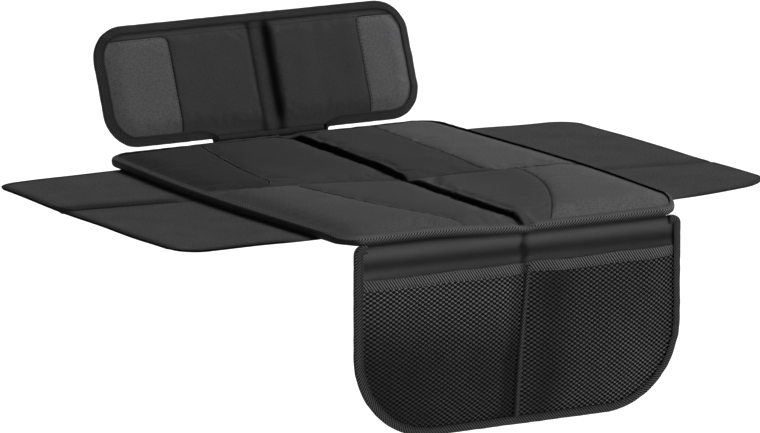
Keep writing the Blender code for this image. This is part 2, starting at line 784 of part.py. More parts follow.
def build_panel(frame, columns):
    """The flap's cloth, with a leaf narrower than the flap tucked under the seat pad."""
    leaf = FLAP_WIDTH / 2 - FLAP_TOP_TURN - FLAP_LEAF_CLEAR
    left_top, left_bottom, right_bottom, right_top = flap_corners(LAYER_INSET, 0.0)
    shoulder = FLAP_TOP_Y - LAYER_INSET
    turn = FLAP_TOP_RADIUS - LAYER_INSET
    outline = [
        (-leaf, shoulder, 0.0),
        (left_top[0], shoulder, turn),
        left_bottom,
        right_bottom,
        (right_top[0], shoulder, turn),
        (leaf, shoulder, 0.0),
        (leaf, CUTTER_REACH, 0.0),
        (-leaf, CUTTER_REACH, 0.0),
    ]
    bends = [FLAP_TUCK + (HANG_START - FLAP_TUCK) * step / BEND_STEPS for step in range(BEND_STEPS + 1)]
    waves = [HANG_START + NET_TOP * step / WAVE_STEPS for step in range(1, WAVE_STEPS + 1)]
    hang_end = HANG_START + TUCK_TOP - FLAP_BEND + FLAP_DROP
    runs = [0.0, *bends, *waves, (waves[-1] + hang_end) / 2, hang_end]
    mesh = grid_mesh("pocket_panel", columns, list(reversed(runs)), panel_point)
    panel = add_piece("pocket_panel", mesh, frame, FLAP_FABRIC)
    add_thickness(panel, FLAP_CLOTH)
    cut(panel, "INTERSECT", prism_cutter("panel_outline", rounded_path(outline), frame))


def build_net(frame, columns, net_start):
    """The net, drawn in at its edges and open at its top."""
    down = FLAP_DROP + net_start - FLAP_LIP - LIP_CLEAR
    rows = [-FLAP_DROP, *(net_start - down * share for share in NET_ROW_SHARES)]
    net = add_piece("pocket_mesh", grid_mesh("pocket_mesh", columns, rows, net_point), frame, NET)
    add_thickness(net, NET_CLOTH)
    cut(net, "DIFFERENCE", add_cutter("net_holes", net_holes_mesh(), frame))
    outline = rounded_path(flap_corners(LAYER_INSET, CUTTER_REACH))
    cut(net, "INTERSECT", prism_cutter("net_outline", outline, frame))


def build_hem_tape(frame, columns, net_start):
    """Tape folded over the net's top edge, between the lips of the side tape."""
    end = FLAP_WIDTH / 2 - FLAP_LIP - GAP
    across = [-end, *(x for x in columns if abs(x) < end), end]
    front = NET_FRONT + GAP + TAPE
    depth = NET_CLOTH + 2 * (GAP + TAPE)
    path = [(x, -NET_TOP, front + net_depth(x, net_start)) for x in reversed(across)]
    section = [(out, up - depth) for out, up in folded_section(HEM_TAPE_WIDTH, depth)]
    mesh = tape_mesh("pocket_hem_tape", path, section, closed=False)
    add_thickness(add_piece("pocket_hem_tape", mesh, frame, TWILL_TAPE), TAPE)


def build_flap_binding(frame):
    """Tape round the flap's sides and bottom, turned in at both top corners."""
    half = FLAP_WIDTH / 2
    turned_in = half - FLAP_TOP_TURN
    corners = [
        (-turned_in, FLAP_TOP_Y, 0.0),
        (-half, FLAP_TOP_Y, FLAP_TOP_RADIUS),
        (-half, -FLAP_DROP, FLAP_RADIUS),
        (half, -FLAP_DROP, FLAP_RADIUS),
        (half, FLAP_TOP_Y, FLAP_TOP_RADIUS),
        (turned_in, FLAP_TOP_Y, 0.0),
    ]
    section = folded_section(FLAP_LIP, FLAP_THICKNESS)
    mesh = tape_mesh("pocket_binding", rounded_path(corners, closed=False), section, closed=False)
    add_thickness(add_piece("pocket_binding", mesh, frame, TWILL_TAPE), TAPE)


def build_flap():
    rear_y = -SEAT_DEPTH / 2 + FLAP_SETBACK
    frame = new_frame("flap_frame", (FLAP_OFFSET, rear_y, 0.0), math.pi / 2)
    columns = pocket_columns()
    net_start = -NET_TOP - TAPE - GAP
    build_panel(frame, columns)
    build_net(frame, columns, net_start)
    build_hem_tape(frame, columns, net_start)
    build_flap_binding(frame)


clear_scene()
PARTS = new_collection("car_seat_protector_mat")
CUTTERS = new_collection("cutters")
MAIN_CLOTH = new_material("main_cloth", (0.034, 0.034, 0.035), 0.85)
ACCENT_CLOTH = new_material("accent_cloth", (0.072, 0.072, 0.074), 0.80)
WING_FABRIC = new_material("wing_fabric", (0.042, 0.042, 0.044), 0.85)
FLAP_FABRIC = new_material("flap_fabric", (0.032, 0.032, 0.034), 0.85)
LINING = new_material("lining", (0.020, 0.020, 0.021), 0.90)
FOAM = new_material("foam", (0.30, 0.30, 0.31), 0.95)
TWILL_TAPE = new_material("twill_tape", (0.024, 0.024, 0.025), 0.80)
NET = new_material("net", (0.040, 0.040, 0.042), 0.75)

build_wing_sheet()
build_seat()
build_back()
build_neck()
build_flap()
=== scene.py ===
"""The looks of a car seat protector mat: sewn cloth over foam, twill tapes, a knitted net and stitches.

Lengths are in metres. X runs to the right along the wings, Y from the front flap to the back pad and Z up.
"""

import logging
import math
from collections.abc import Callable, Iterator
from contextlib import contextmanager
from dataclasses import dataclass, field
from enum import Enum

import bmesh
import bpy
import numpy as np
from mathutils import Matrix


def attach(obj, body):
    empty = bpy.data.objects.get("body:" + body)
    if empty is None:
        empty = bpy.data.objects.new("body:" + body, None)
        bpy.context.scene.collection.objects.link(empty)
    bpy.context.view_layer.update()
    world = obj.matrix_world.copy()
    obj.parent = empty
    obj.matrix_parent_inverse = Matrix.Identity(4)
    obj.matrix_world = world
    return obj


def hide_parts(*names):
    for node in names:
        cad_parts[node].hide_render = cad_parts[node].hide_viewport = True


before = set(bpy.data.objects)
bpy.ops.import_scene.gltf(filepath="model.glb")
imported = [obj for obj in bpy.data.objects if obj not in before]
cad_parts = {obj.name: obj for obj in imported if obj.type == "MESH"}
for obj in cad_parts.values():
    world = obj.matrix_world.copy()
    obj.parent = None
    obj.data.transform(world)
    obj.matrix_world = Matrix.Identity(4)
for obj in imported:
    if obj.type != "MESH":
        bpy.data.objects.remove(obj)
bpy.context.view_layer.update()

Array = np.ndarray
HeightRule = Callable[[Array, Array], Array]
Piece = bpy.types.Object
Socket = bpy.types.NodeSocket
Colour = tuple[float, float, float]

LOG = logging.getLogger("seat_mat")
BODY = "root"
TURN = 2 * math.pi
UP = (0.0, 0.0, 1.0)
TRACK_STEP = 0.0022
ABOVE_TAPE = 0.00005


# Plain shape rules


def unit(values: Array) -> Array:
    """Values held within 0 and 1."""
    return np.clip(values, 0.0, 1.0)


def joined(*columns: Array) -> Array:
    """Points from their coordinates, as the last axis."""
    return np.stack(columns, axis=-1)


def shoulder(distance: Array, width: float) -> Array:
    """A round shoulder: the sine of a quarter turn over the width, held at 1 beyond it."""
    return np.sin(unit(distance / width) * math.pi / 2)


def ease(distance: Array, width: float) -> Array:
    """A soft step: 3 t squared less 2 t cubed, with t the distance over the width, held in 0 to 1."""
    share = unit(distance / width)
    return share * share * (3.0 - 2.0 * share)


def bell(distance: Array, width: float) -> Array:
    """A bell curve: e to the minus square of distance over width."""
    return np.exp(-((distance / width) ** 2))


def graded(count: int, power: float) -> Array:
    """Shares from 0 to 1 that lie closer together near 0: an even share raised to a power."""
    return np.linspace(0.0, 1.0, count) ** power


def mirrored(shares: Array) -> Array:
    """Shares that start at 0, on both sides of it."""
    return np.concatenate((-shares[:0:-1], shares))


def between(across: Array, middle: Array | float, left: Array | float, right: Array | float) -> Array:
    """The place from left at -1 over the middle at 0 to right at 1, evenly on each side."""
    return middle + np.where(across < 0, middle - left, right - middle) * across


def round_off(over: Array, radius: Array | float) -> Array:
    """How far a circle falls away from its tangent: the radius less the root of its square less over's."""
    return radius - np.sqrt(np.maximum(radius**2 - over**2, 0.0))


def run_along(points: Array) -> Array:
    """The length run so far at each point of a path: the sum of its steps."""
    return np.concatenate(([0.0], np.cumsum(np.linalg.norm(np.diff(points, axis=0), axis=1))))


def read_path(at: Array, run: Array, points: Array) -> Array:
    """The path's points at other run lengths, straight between its own."""
    return np.stack([np.interp(at, run, column) for column in points.T], axis=1)


@dataclass(frozen=True)
class Unevenness:
    """The slow unevenness of cloth, as a sum of plane sine waves with fixed random directions."""

    seed: int
    shortest: float
    longest: float
    waves: int = 14

    def at(self, x: Array, y: Array) -> Array:
        """The sum of the waves at each point, scaled to stay mostly within -1 and 1.

        Args:
            x: Widths.
            y: Depths.

        Returns:
            The sum at each point.
        """
        draw = np.random.default_rng(self.seed)
        lengths = draw.uniform(self.shortest, self.longest, self.waves)
        turns = draw.uniform(0.0, TURN, self.waves)
        phases = draw.uniform(0.0, TURN, self.waves)
        total = np.zeros(np.broadcast(x, y).shape)
        for length, turn, phase in zip(lengths, turns, phases):
            along = x * math.cos(turn) + y * math.sin(turn)
            total += np.sin(TURN * along / length + phase)
        return total / math.sqrt(self.waves)


# Places and outlines


@dataclass(frozen=True)
class Place:
    """A flat frame in the mat's own space: an origin and three axes at right angles."""

    origin: tuple[float, float, float] = (0.0, 0.0, 0.0)
    across: tuple[float, float, float] = (1.0, 0.0, 0.0)
    along: tuple[float, float, float] = (0.0, 1.0, 0.0)
    out: tuple[float, float, float] = (0.0, 0.0, 1.0)

    def points(self, x: Array, y: Array, z: Array) -> Array:
        """World points: the origin plus x, y and z along the three axes."""
        local = np.stack(np.broadcast_arrays(x, y, z), axis=-1)
        return local @ np.array([self.across, self.along, self.out]) + np.array(self.origin)


@dataclass(frozen=True)
class Track:
    """A path in a flat frame, with its outward side and its running length."""

    points: Array
    outward: Array
    run: Array

    @property
    def length(self) -> float:
        """Length of the whole path."""
        return float(self.run[-1])


def track_through(corners: list[tuple[float, float, float]], closed: bool, step: float) -> Track:
    """A path of straight stretches joined by arcs, with its right-hand side taken as outward.

    Each arc touches both of its stretches, so its centre lies on the corner's bisector at the radius
    over the sine of half the corner's angle.

    Args:
        corners: Each corner's x, y and radius, in the order of travel.
        closed: Whether the path comes back to its start.
        step: Distance between neighbouring points.

    Returns:
        The path, sampled evenly by its length.
    """
    count = len(corners)
    pieces: list[Array] = []
    for index, (x, y, radius) in enumerate(corners):
        corner = np.array((x, y))
        if radius <= 0.0 or (not closed and index in (0, count - 1)):
            pieces.append(corner[None, :])
            continue
        before = np.array(corners[index - 1][:2]) - corner
        after = np.array(corners[(index + 1) % count][:2]) - corner
        before /= np.linalg.norm(before)
        after /= np.linalg.norm(after)
        half_angle = math.acos(float(np.clip(before @ after, -1.0, 1.0))) / 2
        bisector = (before + after) / np.linalg.norm(before + after)
        centre = corner + bisector * radius / math.sin(half_angle)
        first = corner + before * radius / math.tan(half_angle) - centre
        last = corner + after * radius / math.tan(half_angle) - centre
        sweep = math.atan2(first[0] * last[1] - first[1] * last[0], float(first @ last))
        angles = sweep * np.linspace(0.0, 1.0, max(8, int(abs(sweep) * radius / step)))
        turned_x = first[0] * np.cos(angles) - first[1] * np.sin(angles)
        turned_y = first[0] * np.sin(angles) + first[1] * np.cos(angles)
        pieces.append(centre + np.stack((turned_x, turned_y), axis=1))
    rough = np.concatenate(pieces)
    if closed:
        rough = np.concatenate((rough, rough[:1]))
    gaps = np.linalg.norm(np.diff(rough, axis=0), axis=1)
    rough = rough[np.concatenate(([True], gaps > 1e-9))]
    reached = run_along(rough)
    run = np.linspace(0.0, reached[-1], int(reached[-1] / step) + 1)
    points = read_path(run, reached, rough)
    if closed:
        before = np.concatenate((points[-2:-1], points[:-1]))
        after = np.concatenate((points[1:], points[1:2]))
        travel = after - before
    else:
        travel = np.gradient(points, axis=0)
    travel /= np.linalg.norm(travel, axis=1, keepdims=True)
    outward = np.stack((travel[:, 1], -travel[:, 0]), axis=1)
    return Track(points, outward, run)


def rounded_inset(x: Array, y: Array, half: tuple[float, float], radius: Array | float) -> Array:
    """How far each point lies inside a rounded rectangle: the radius less the distance to the core.

    Args:
        x: Widths.
        y: Depths.
        half: Half of its width and depth.
        radius: Radius of its corners.

    Returns:
        Metres, negative outside.
    """
    over_x = np.abs(x) - (half[0] - radius)
    over_y = np.abs(y) - (half[1] - radius)
    outside = np.hypot(np.maximum(over_x, 0.0), np.maximum(over_y, 0.0))
    return radius - outside - np.minimum(np.maximum(over_x, over_y), 0.0)


def rounded_side(y: Array, half: tuple[float, float], radius: Array | float) -> Array:
    """Half width of a rounded rectangle at each depth: drawn in by a quarter circle at the corners."""
    return half[0] - round_off(np.clip(np.abs(y) - (half[1] - radius), 0.0, radius), radius)


# Meshes from grids


@dataclass
class Sheetlet:
    """One grid of points with the flat place of each on the cloth, in metres.

    Attributes:
        points: Rows by columns by three.
        flat: Rows by columns by two.
        shade: Painted shade: how much darker the cloth is painted where shade falls, from 0 to 1.
        turned: Whether the outer side is the other one.
    """

    points: Array
    flat: Array
    shade: Array | None = None
    turned: bool = False

    def faces(self, start: int) -> Array:
        """Four corners of each grid cell, counted from the given first point.

        Args:
            start: Number of the grid's first point.

        Returns:
            One row of four point numbers per face.
        """
        rows, columns = self.points.shape[:2]
        index = start + np.arange(rows * columns).reshape(rows, columns)
        corners = (index[:-1, :-1], index[:-1, 1:], index[1:, 1:], index[1:, :-1])
        quads = np.stack([corner.ravel() for corner in corners], axis=1)
        return quads[:, ::-1] if self.turned else quads


def mesh_object(name: str, points: Array, faces: Array, flat: Array, shade: Array) -> Piece:
    """An object from whole arrays of points, faces, flat places and shades.

    Args:
        name: The piece's name.
        points: One row of three per point.
        faces: One row of point numbers per face, all with as many corners.
        flat: One row of two per point, kept as the piece's UV map.
        shade: One value per point, kept as the attribute shade.

    Returns:
        The object, linked to the scene.
    """
    mesh = bpy.data.meshes.new(name)
    mesh.vertices.add(len(points))
    mesh.vertices.foreach_set("co", points.astype(np.float32).ravel())
    corners = faces.shape[1]
    mesh.loops.add(faces.size)
    mesh.loops.foreach_set("vertex_index", faces.astype(np.int32).ravel())
    mesh.polygons.add(len(faces))
    mesh.polygons.foreach_set("loop_start", np.arange(0, faces.size, corners, dtype=np.int32))
    mesh.update(calc_edges=True)
    layer = mesh.uv_layers.new(name="flat_cloth")
    layer.data.foreach_set("uv", flat[faces.ravel()].astype(np.float32).ravel())
    painted = mesh.attributes.new("shade", "FLOAT", "POINT")
    painted.data.foreach_set("value", shade.astype(np.float32).ravel())
    mesh.polygons.foreach_set("use_smooth", np.ones(len(faces), dtype=bool))
    made = bpy.data.objects.new(name, mesh)
    bpy.context.scene.collection.objects.link(made)
    return made


@contextmanager
def reshaped(made: Piece, closed: bool = True) -> Iterator[bmesh.types.BMesh]:
    """Opens a piece's mesh for a change and puts it back.

    Args:
        made: The piece.
        closed: Whether it is a closed shape, whose faces are then turned outwards.

    Yields:
        The open mesh.
    """
    shape = bmesh.new()
    shape.from_mesh(made.data)
    yield shape
    if closed:
        bmesh.ops.recalc_face_normals(shape, faces=shape.faces)
    shape.to_mesh(made.data)
    shape.free()


def tube_faces(rings: int, corners: int, count: int) -> Array:
    """The walls of separate short tubes, each of rings of points that follow on each other.

    Args:
        rings: Rings in each tube.
        corners: Points in each ring.
        count: How many tubes there are.

    Returns:
        One row of four point numbers per face.
    """
    number = np.arange(rings * corners).reshape(rings, corners)
    ahead = np.roll(number, -1, axis=1)
    quads = joined(number[:-1], ahead[:-1], ahead[1:], number[1:]).reshape(-1, 4)
    return (rings * corners * np.arange(count)[:, None, None] + quads[None]).reshape(-1, 4)


def cloth_from(name: str, grids: list[Sheetlet], thickness: float, closed: bool = False) -> Piece:
    """A piece from grids whose edges meet, with the cloth's thickness under the outer side.

    Points that lie on each other are joined, such as those where a closed tape meets itself.

    Args:
        name: The piece's name.
        grids: The grids, each with its outer side up.
        thickness: The cloth's thickness, or 0 for none.
        closed: Whether the grids close a body, whose faces are then turned outwards.

    Returns:
        The object, with a live Solidify modifier where it has a thickness.
    """
    starts = np.cumsum([0] + [grid.points.shape[0] * grid.points.shape[1] for grid in grids])
    points = np.concatenate([grid.points.reshape(-1, 3) for grid in grids])
    flat = np.concatenate([grid.flat.reshape(-1, 2) for grid in grids])
    shades = [np.zeros(grid.points.shape[:2]) if grid.shade is None else grid.shade for grid in grids]
    shade = np.concatenate([value.ravel() for value in shades])
    faces = np.concatenate([grid.faces(int(start)) for grid, start in zip(grids, starts)])
    made = mesh_object(name, points, faces, flat, shade)
    with reshaped(made, closed) as shape:
        bmesh.ops.remove_doubles(shape, verts=shape.verts, dist=1e-6)
        empty = [face for face in shape.faces if face.calc_area() < 1e-14]
        bmesh.ops.delete(shape, geom=empty, context="FACES")
    if thickness > 0.0:
        shell = made.modifiers.new("cloth", "SOLIDIFY")
        shell.thickness = thickness
        shell.offset = -1.0
        shell.use_even_offset = False
    return made


def foam_between(name: str, upper: Array, lower: Array, flat: Array, turned: bool = False) -> Piece:
    """A closed foam block: a top, a bottom and a straight wall along each of their four rims.

    Args:
        name: The piece's name.
        upper: The top's grid of points.
        lower: The bottom's grid of points, of the same size.
        flat: Each point's place on the flat foam.
        turned: Whether the top's outer side is the other one.

    Returns:
        The block.
    """
    rims = [
        Sheetlet(np.stack((lower[rim], upper[rim])), np.stack((flat[rim], flat[rim] + 0.01)))
        for rim in (np.s_[0, :], np.s_[-1, :], np.s_[:, 0], np.s_[:, -1])
    ]
    faces = [Sheetlet(upper, flat, None, turned), Sheetlet(lower, flat, None, not turned)]
    return cloth_from(name, faces + rims, 0.0, closed=True)


# Node trees


class Recipe:
    """The node tree of a material or a world, with short calls that add a node and join it."""

    def __init__(self, name: str, world: bool = False) -> None:
        """Starts a material with its Principled shader, or a world with its Background.

        Args:
            name: Its name.
            world: Whether it is a world.
        """
        self.made = (bpy.data.worlds if world else bpy.data.materials).new(name)
        self.made.use_nodes = True
        self.tree = self.made.node_tree
        self.shader = self.tree.nodes["Background" if world else "Principled BSDF"]

    def node(self, kind: str, **settings: object) -> bpy.types.Node:
        """Adds a node and sets its properties.

        Args:
            kind: The node's type.
            settings: Its properties.

        Returns:
            The node.
        """
        made = self.tree.nodes.new(kind)
        for key, value in settings.items():
            setattr(made, key, value)
        return made

    def feed(self, socket: Socket, value: object) -> None:
        """Sets a socket to a number or colour, or joins it to another socket.

        Args:
            socket: The input.
            value: What it gets.
        """
        if isinstance(value, Socket):
            self.tree.links.new(value, socket)
        else:
            socket.default_value = value

    def sum_of(self, operation: str, *values: object) -> Socket:
        """The result of one Math node on up to three values.

        Args:
            operation: What the node does.
            values: Numbers or sockets.

        Returns:
            The node's output.
        """
        made = self.node("ShaderNodeMath", operation=operation)
        for socket, value in zip(made.inputs, values):
            self.feed(socket, value)
        return made.outputs[0]

    def flat(self) -> tuple[Socket, Socket, Socket]:
        """The point on the flat cloth: the whole vector, its run and its width.

        Returns:
            Three sockets.
        """
        found = self.node("ShaderNodeUVMap", uv_map="flat_cloth")
        parts = self.node("ShaderNodeSeparateXYZ")
        self.tree.links.new(found.outputs["UV"], parts.inputs[0])
        return found.outputs["UV"], parts.outputs[0], parts.outputs[1]

    def noise(self, vector: object, scale: float, detail: float = 2.0) -> Socket:
        """Noise from 0 to 1 at a scale of so many lumps a metre.

        Args:
            vector: Where it is read.
            scale: Lumps a metre.
            detail: Finer steps.

        Returns:
            The noise.
        """
        made = self.node("ShaderNodeTexNoise")
        self.feed(made.inputs["Vector"], vector)
        self.feed(made.inputs["Scale"], scale)
        self.feed(made.inputs["Detail"], detail)
        return made.outputs["Fac"]

    def wave(self, place: object, length: float) -> Socket:
        """Half of one plus the sine of a place over a wave length: rows of threads from 0 to 1."""
        raised = self.sum_of("SINE", self.sum_of("MULTIPLY", place, TURN / length))
        return self.sum_of("MULTIPLY_ADD", raised, 0.5, 0.5)

    def swing(self, value: object, amount: float) -> Socket:
        """A factor round 1 that swings by the amount as the value goes from 0 to 1."""
        return self.sum_of("MULTIPLY_ADD", value, 2 * amount, 1.0 - amount)

    def tinted(self, colour: object, factor: object) -> Socket:
        """A colour times a factor, for each point.

        Args:
            colour: A colour or a socket.
            factor: A number or a socket.

        Returns:
            The tinted colour.
        """
        made = self.node("ShaderNodeVectorMath", operation="SCALE")
        self.feed(made.inputs[0], colour)
        self.feed(made.inputs["Scale"], factor)
        return made.outputs["Vector"]

    def surface(self, colour: object, roughness: float, gloss: float = 0.5) -> None:
        """Sets the shader's colour, roughness and specular level.

        Args:
            colour: The colour's socket.
            roughness: Its roughness.
            gloss: Its specular level.
        """
        self.feed(self.shader.inputs["Base Color"], colour)
        self.shader.inputs["Roughness"].default_value = roughness
        self.shader.inputs["Specular IOR Level"].default_value = gloss

    def seen(self) -> Socket:
        """1 where the camera sees the surface, straight, in gloss or through glass, and 0 for its light.

        Returns:
            The value's socket.
        """
        path = self.node("ShaderNodeLightPath")
        rays = [path.outputs[f"Is {kind} Ray"] for kind in ("Camera", "Glossy", "Transmission")]
        return self.sum_of("MAXIMUM", self.sum_of("MAXIMUM", rays[0], rays[1]), rays[2])

    def relief(self, height: object, strength: float, depth: float) -> None:
        """Bumps the shader's normal by a height that is worth so many metres.

        Args:
            height: The height's socket.
            strength: Share of the bump.
            depth: Metres at a height of 1.
        """
        made = self.node("ShaderNodeBump")
        made.inputs["Strength"].default_value = strength
        made.inputs["Distance"].default_value = depth
        self.feed(made.inputs["Height"], height)
        self.tree.links.new(made.outputs["Normal"], self.shader.inputs["Normal"])

    def fold_shade(self, depth: float) -> Socket:
        """A factor that darkens the colour by the painted shade kept in the attribute shade."""
        found = self.node("ShaderNodeAttribute", attribute_name="shade")
        return self.sum_of("MULTIPLY_ADD", found.outputs["Fac"], -depth, 1.0)

    def product(self, *factors: object) -> Socket:
        """The product of several factors.

        Args:
            factors: Numbers or sockets.

        Returns:
            Their product.
        """
        result = factors[0]
        for factor in factors[1:]:
            result = self.sum_of("MULTIPLY", result, factor)
        return result


@dataclass(frozen=True)
class Cloth:
    """A matt woven cloth with crossed threads, soft mottling and a fuzzy sheen.

    Attributes:
        name: The material's name.
        colour: Linear colour of the cloth.
        thread: Distance between threads.
        speckle: How much the fine grain swings the colour.
        coarse: How much of that swing the coarser lumps have.
        mottle: How much slow patches swing the colour.
        fuzz: Weight of the sheen.
        roughness: Roughness of the threads.
        relief: Height of the weave.
        grains: Finest grain, in lumps a metre.
        lumps: Coarser lumps a metre.
        patches: Slow patches a metre.
    """

    name: str
    colour: Colour
    thread: float = 0.0011
    speckle: float = 0.36
    coarse: float = 0.6
    mottle: float = 0.08
    fuzz: float = 0.004
    roughness: float = 0.95
    relief: float = 0.00012
    grains: float = 760.0
    lumps: float = 330.0
    patches: float = 22.0

    def material(self) -> bpy.types.Material:
        """Builds the weave: crossed sine rows give the height, and grain and patches give the colour.

        Returns:
            The material.
        """
        recipe = Recipe(self.name)
        vector, run, width = recipe.flat()
        warp = recipe.wave(run, self.thread)
        weft = recipe.wave(width, self.thread)
        weave = recipe.sum_of("ABSOLUTE", recipe.sum_of("SUBTRACT", warp, weft))
        grain = recipe.noise(vector, self.grains, 3.0)
        factor = recipe.product(
            recipe.swing(grain, self.speckle),
            recipe.swing(recipe.noise(vector, self.lumps), self.speckle * self.coarse),
            recipe.swing(recipe.noise(vector, self.patches), self.mottle),
            recipe.swing(weave, 0.05),
            recipe.fold_shade(0.94),
        )
        recipe.surface(recipe.tinted(self.colour, factor), self.roughness, 0.01)
        recipe.shader.inputs["Sheen Weight"].default_value = self.fuzz
        recipe.shader.inputs["Sheen Roughness"].default_value = 0.6
        recipe.relief(recipe.sum_of("ADD", weave, grain), 0.8, self.relief)
        return recipe.made


class Lay(Enum):
    """Which way a twill's ribs run."""

    SLANTED = "slanted"
    HERRINGBONE = "herringbone"


@dataclass(frozen=True)
class Twill:
    """A ribbed twill with light ribs and dark grooves.

    Attributes:
        name: The material's name.
        groove: Linear colour in the grooves.
        rib: Linear colour on the ribs.
        pitch: Distance between ribs along the run.
        slope: How far a rib moves along the run for each metre of width.
        lay: Whether the ribs turn at the middle of the width.
        middle: Where the ribs turn, across the width.
        roughness: Roughness of the ribs.
        relief: Height of the ribs.
    """

    name: str
    groove: Colour
    rib: Colour
    pitch: float
    slope: float
    lay: Lay = Lay.SLANTED
    middle: float = 0.0
    roughness: float = 0.75
    relief: float = 0.0004

    def material(self) -> bpy.types.Material:
        """Builds the ribs: a sine of run plus slope times width, with a little noise in its phase.

        Returns:
            The material.
        """
        recipe = Recipe(self.name)
        vector, run, width = recipe.flat()
        across = recipe.sum_of("SUBTRACT", width, self.middle)
        if self.lay is Lay.HERRINGBONE:
            across = recipe.sum_of("ABSOLUTE", across)
        slanted = recipe.sum_of("MULTIPLY_ADD", across, self.slope, run)
        wander = recipe.noise(vector, 160.0, 1.0)
        slanted = recipe.sum_of("MULTIPLY_ADD", wander, self.pitch * 0.35, slanted)
        steeper = recipe.node("ShaderNodeMapRange", clamp=True)
        wave = recipe.wave(slanted, self.pitch)
        for name, value in (("Value", wave), ("From Min", 0.22), ("From Max", 0.78)):
            recipe.feed(steeper.inputs[name], value)
        rib = steeper.outputs["Result"]
        grain = recipe.noise(vector, 1100.0)
        mixed = recipe.node("ShaderNodeMix", data_type="RGBA")
        recipe.feed(mixed.inputs[0], rib)
        mixed.inputs[6].default_value = (*self.groove, 1.0)
        mixed.inputs[7].default_value = (*self.rib, 1.0)
        patches = recipe.swing(recipe.noise(vector, 30.0), 0.12)
        factor = recipe.product(recipe.swing(grain, 0.25), patches, recipe.fold_shade(0.92))
        recipe.surface(recipe.tinted(mixed.outputs[2], factor), self.roughness, 0.08)
        recipe.relief(recipe.sum_of("ADD", rib, recipe.sum_of("MULTIPLY", grain, 0.4)), 0.9, self.relief)
        return recipe.made


@dataclass(frozen=True)
class Yarn:
    """Thread or knitted yarn, with fine fibres along it."""

    name: str
    colour: Colour
    gloss: float = 0.4

    def material(self) -> bpy.types.Material:
        """Builds the yarn: fine noise for its fibres, darkened by the painted shade kept in the attribute
        shade.

        Returns:
            The material.
        """
        recipe = Recipe(self.name)
        vector = recipe.flat()[0]
        fibres = recipe.noise(vector, 2600.0)
        patches = recipe.swing(recipe.noise(vector, 45.0), 0.10)
        factor = recipe.product(recipe.swing(fibres, 0.22), patches, recipe.fold_shade(0.88))
        recipe.surface(recipe.tinted(self.colour, factor), 0.8, self.gloss)
        recipe.relief(fibres, 0.5, 0.0001)
        return recipe.made


@dataclass(frozen=True)
class FoamFinish:
    """Open-cell foam with small round cells."""

    name: str
    colour: Colour

    def material(self) -> bpy.types.Material:
        """Builds the cells: a Voronoi distance for the height and a little of the colour.

        Returns:
            The material.
        """
        recipe = Recipe(self.name)
        cells = recipe.node("ShaderNodeTexVoronoi")
        recipe.feed(cells.inputs["Vector"], recipe.flat()[0])
        cells.inputs["Scale"].default_value = 700.0
        factor = recipe.swing(cells.outputs["Distance"], 0.2)
        recipe.surface(recipe.tinted(self.colour, factor), 0.95)
        recipe.relief(cells.outputs["Distance"], 0.6, 0.0003)
        return recipe.made


class Finish(Enum):
    """The mat's finishes, one for each of the record's slots and a few shades beside them."""

    MAIN = Cloth("main_weave", (0.048, 0.048, 0.049))
    ACCENT = Cloth("accent_weave", (0.080, 0.080, 0.082), thread=0.0014, speckle=0.60)
    WING = Cloth("wing_weave", (0.043, 0.043, 0.044), thread=0.0009, speckle=0.50, coarse=1.1, mottle=0.24)
    LINING = Cloth("lining_weave", (0.020, 0.020, 0.021), thread=0.0012, mottle=0.12)
    FLAP = Twill(
        "flap_twill", (0.024, 0.024, 0.024), (0.082, 0.082, 0.083), pitch=0.0021, slope=-0.8, relief=0.0002
    )
    EDGE_TAPE = Twill(
        "edge_tape_twill", (0.002, 0.002, 0.002), (0.125, 0.125, 0.127), pitch=0.0038, slope=0.9,
        lay=Lay.HERRINGBONE, middle=0.0105,
    )
    HEM_TAPE = Twill("hem_tape_twill", (0.001, 0.001, 0.001), (0.100, 0.100, 0.102), pitch=0.0034, slope=0.7)
    SOFT_TAPE = Twill(
        "soft_tape_twill", (0.002, 0.002, 0.002), (0.070, 0.070, 0.071), pitch=0.0036, slope=0.9,
        lay=Lay.HERRINGBONE, middle=0.011,
    )
    BACK_TAPE = Twill(
        "back_tape_twill", (0.005, 0.005, 0.005), (0.054, 0.054, 0.055), pitch=0.0026, slope=0.9,
        lay=Lay.HERRINGBONE, middle=0.011,
    )
    NET = Yarn("net_yarn", (0.180, 0.180, 0.182), gloss=0.02)
    THREAD = Yarn("black_thread", (0.012, 0.012, 0.012), gloss=0.1)
    PALE_THREAD = Yarn("grey_thread", (0.105, 0.105, 0.108), gloss=0.1)
    FOAM = FoamFinish("grey_foam", (0.30, 0.30, 0.31))


class Wardrobe:
    """Keeps one built material for each finish."""

    def __init__(self) -> None:
        """Starts with no material built."""
        self.built: dict[Finish, bpy.types.Material] = {}

    def material(self, finish: Finish) -> bpy.types.Material:
        """The finish's material, built once.

        Args:
            finish: The finish.

        Returns:
            Its material.
        """
        if finish not in self.built:
            self.built[finish] = finish.value.material()
        return self.built[finish]

    def dress(self, made: Piece, finish: Finish, slot: str, *nodes: str) -> Piece:
        """Gives a piece its material and its body, and hides the CAD nodes that it stands for.

        Args:
            made: The piece.
            finish: What it is covered with.
            slot: The record's material slot, not used.
            nodes: Names of the CAD nodes that it replaces.

        Returns:
            The same piece.
        """
        made.data.materials.clear()
        made.data.materials.append(self.material(finish))
        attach(made, BODY)
        if nodes:
            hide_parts(*nodes)
        LOG.info("%s: %d faces, %s", made.name, len(made.data.polygons), finish.value.name)
        return made


# Tapes and stitches


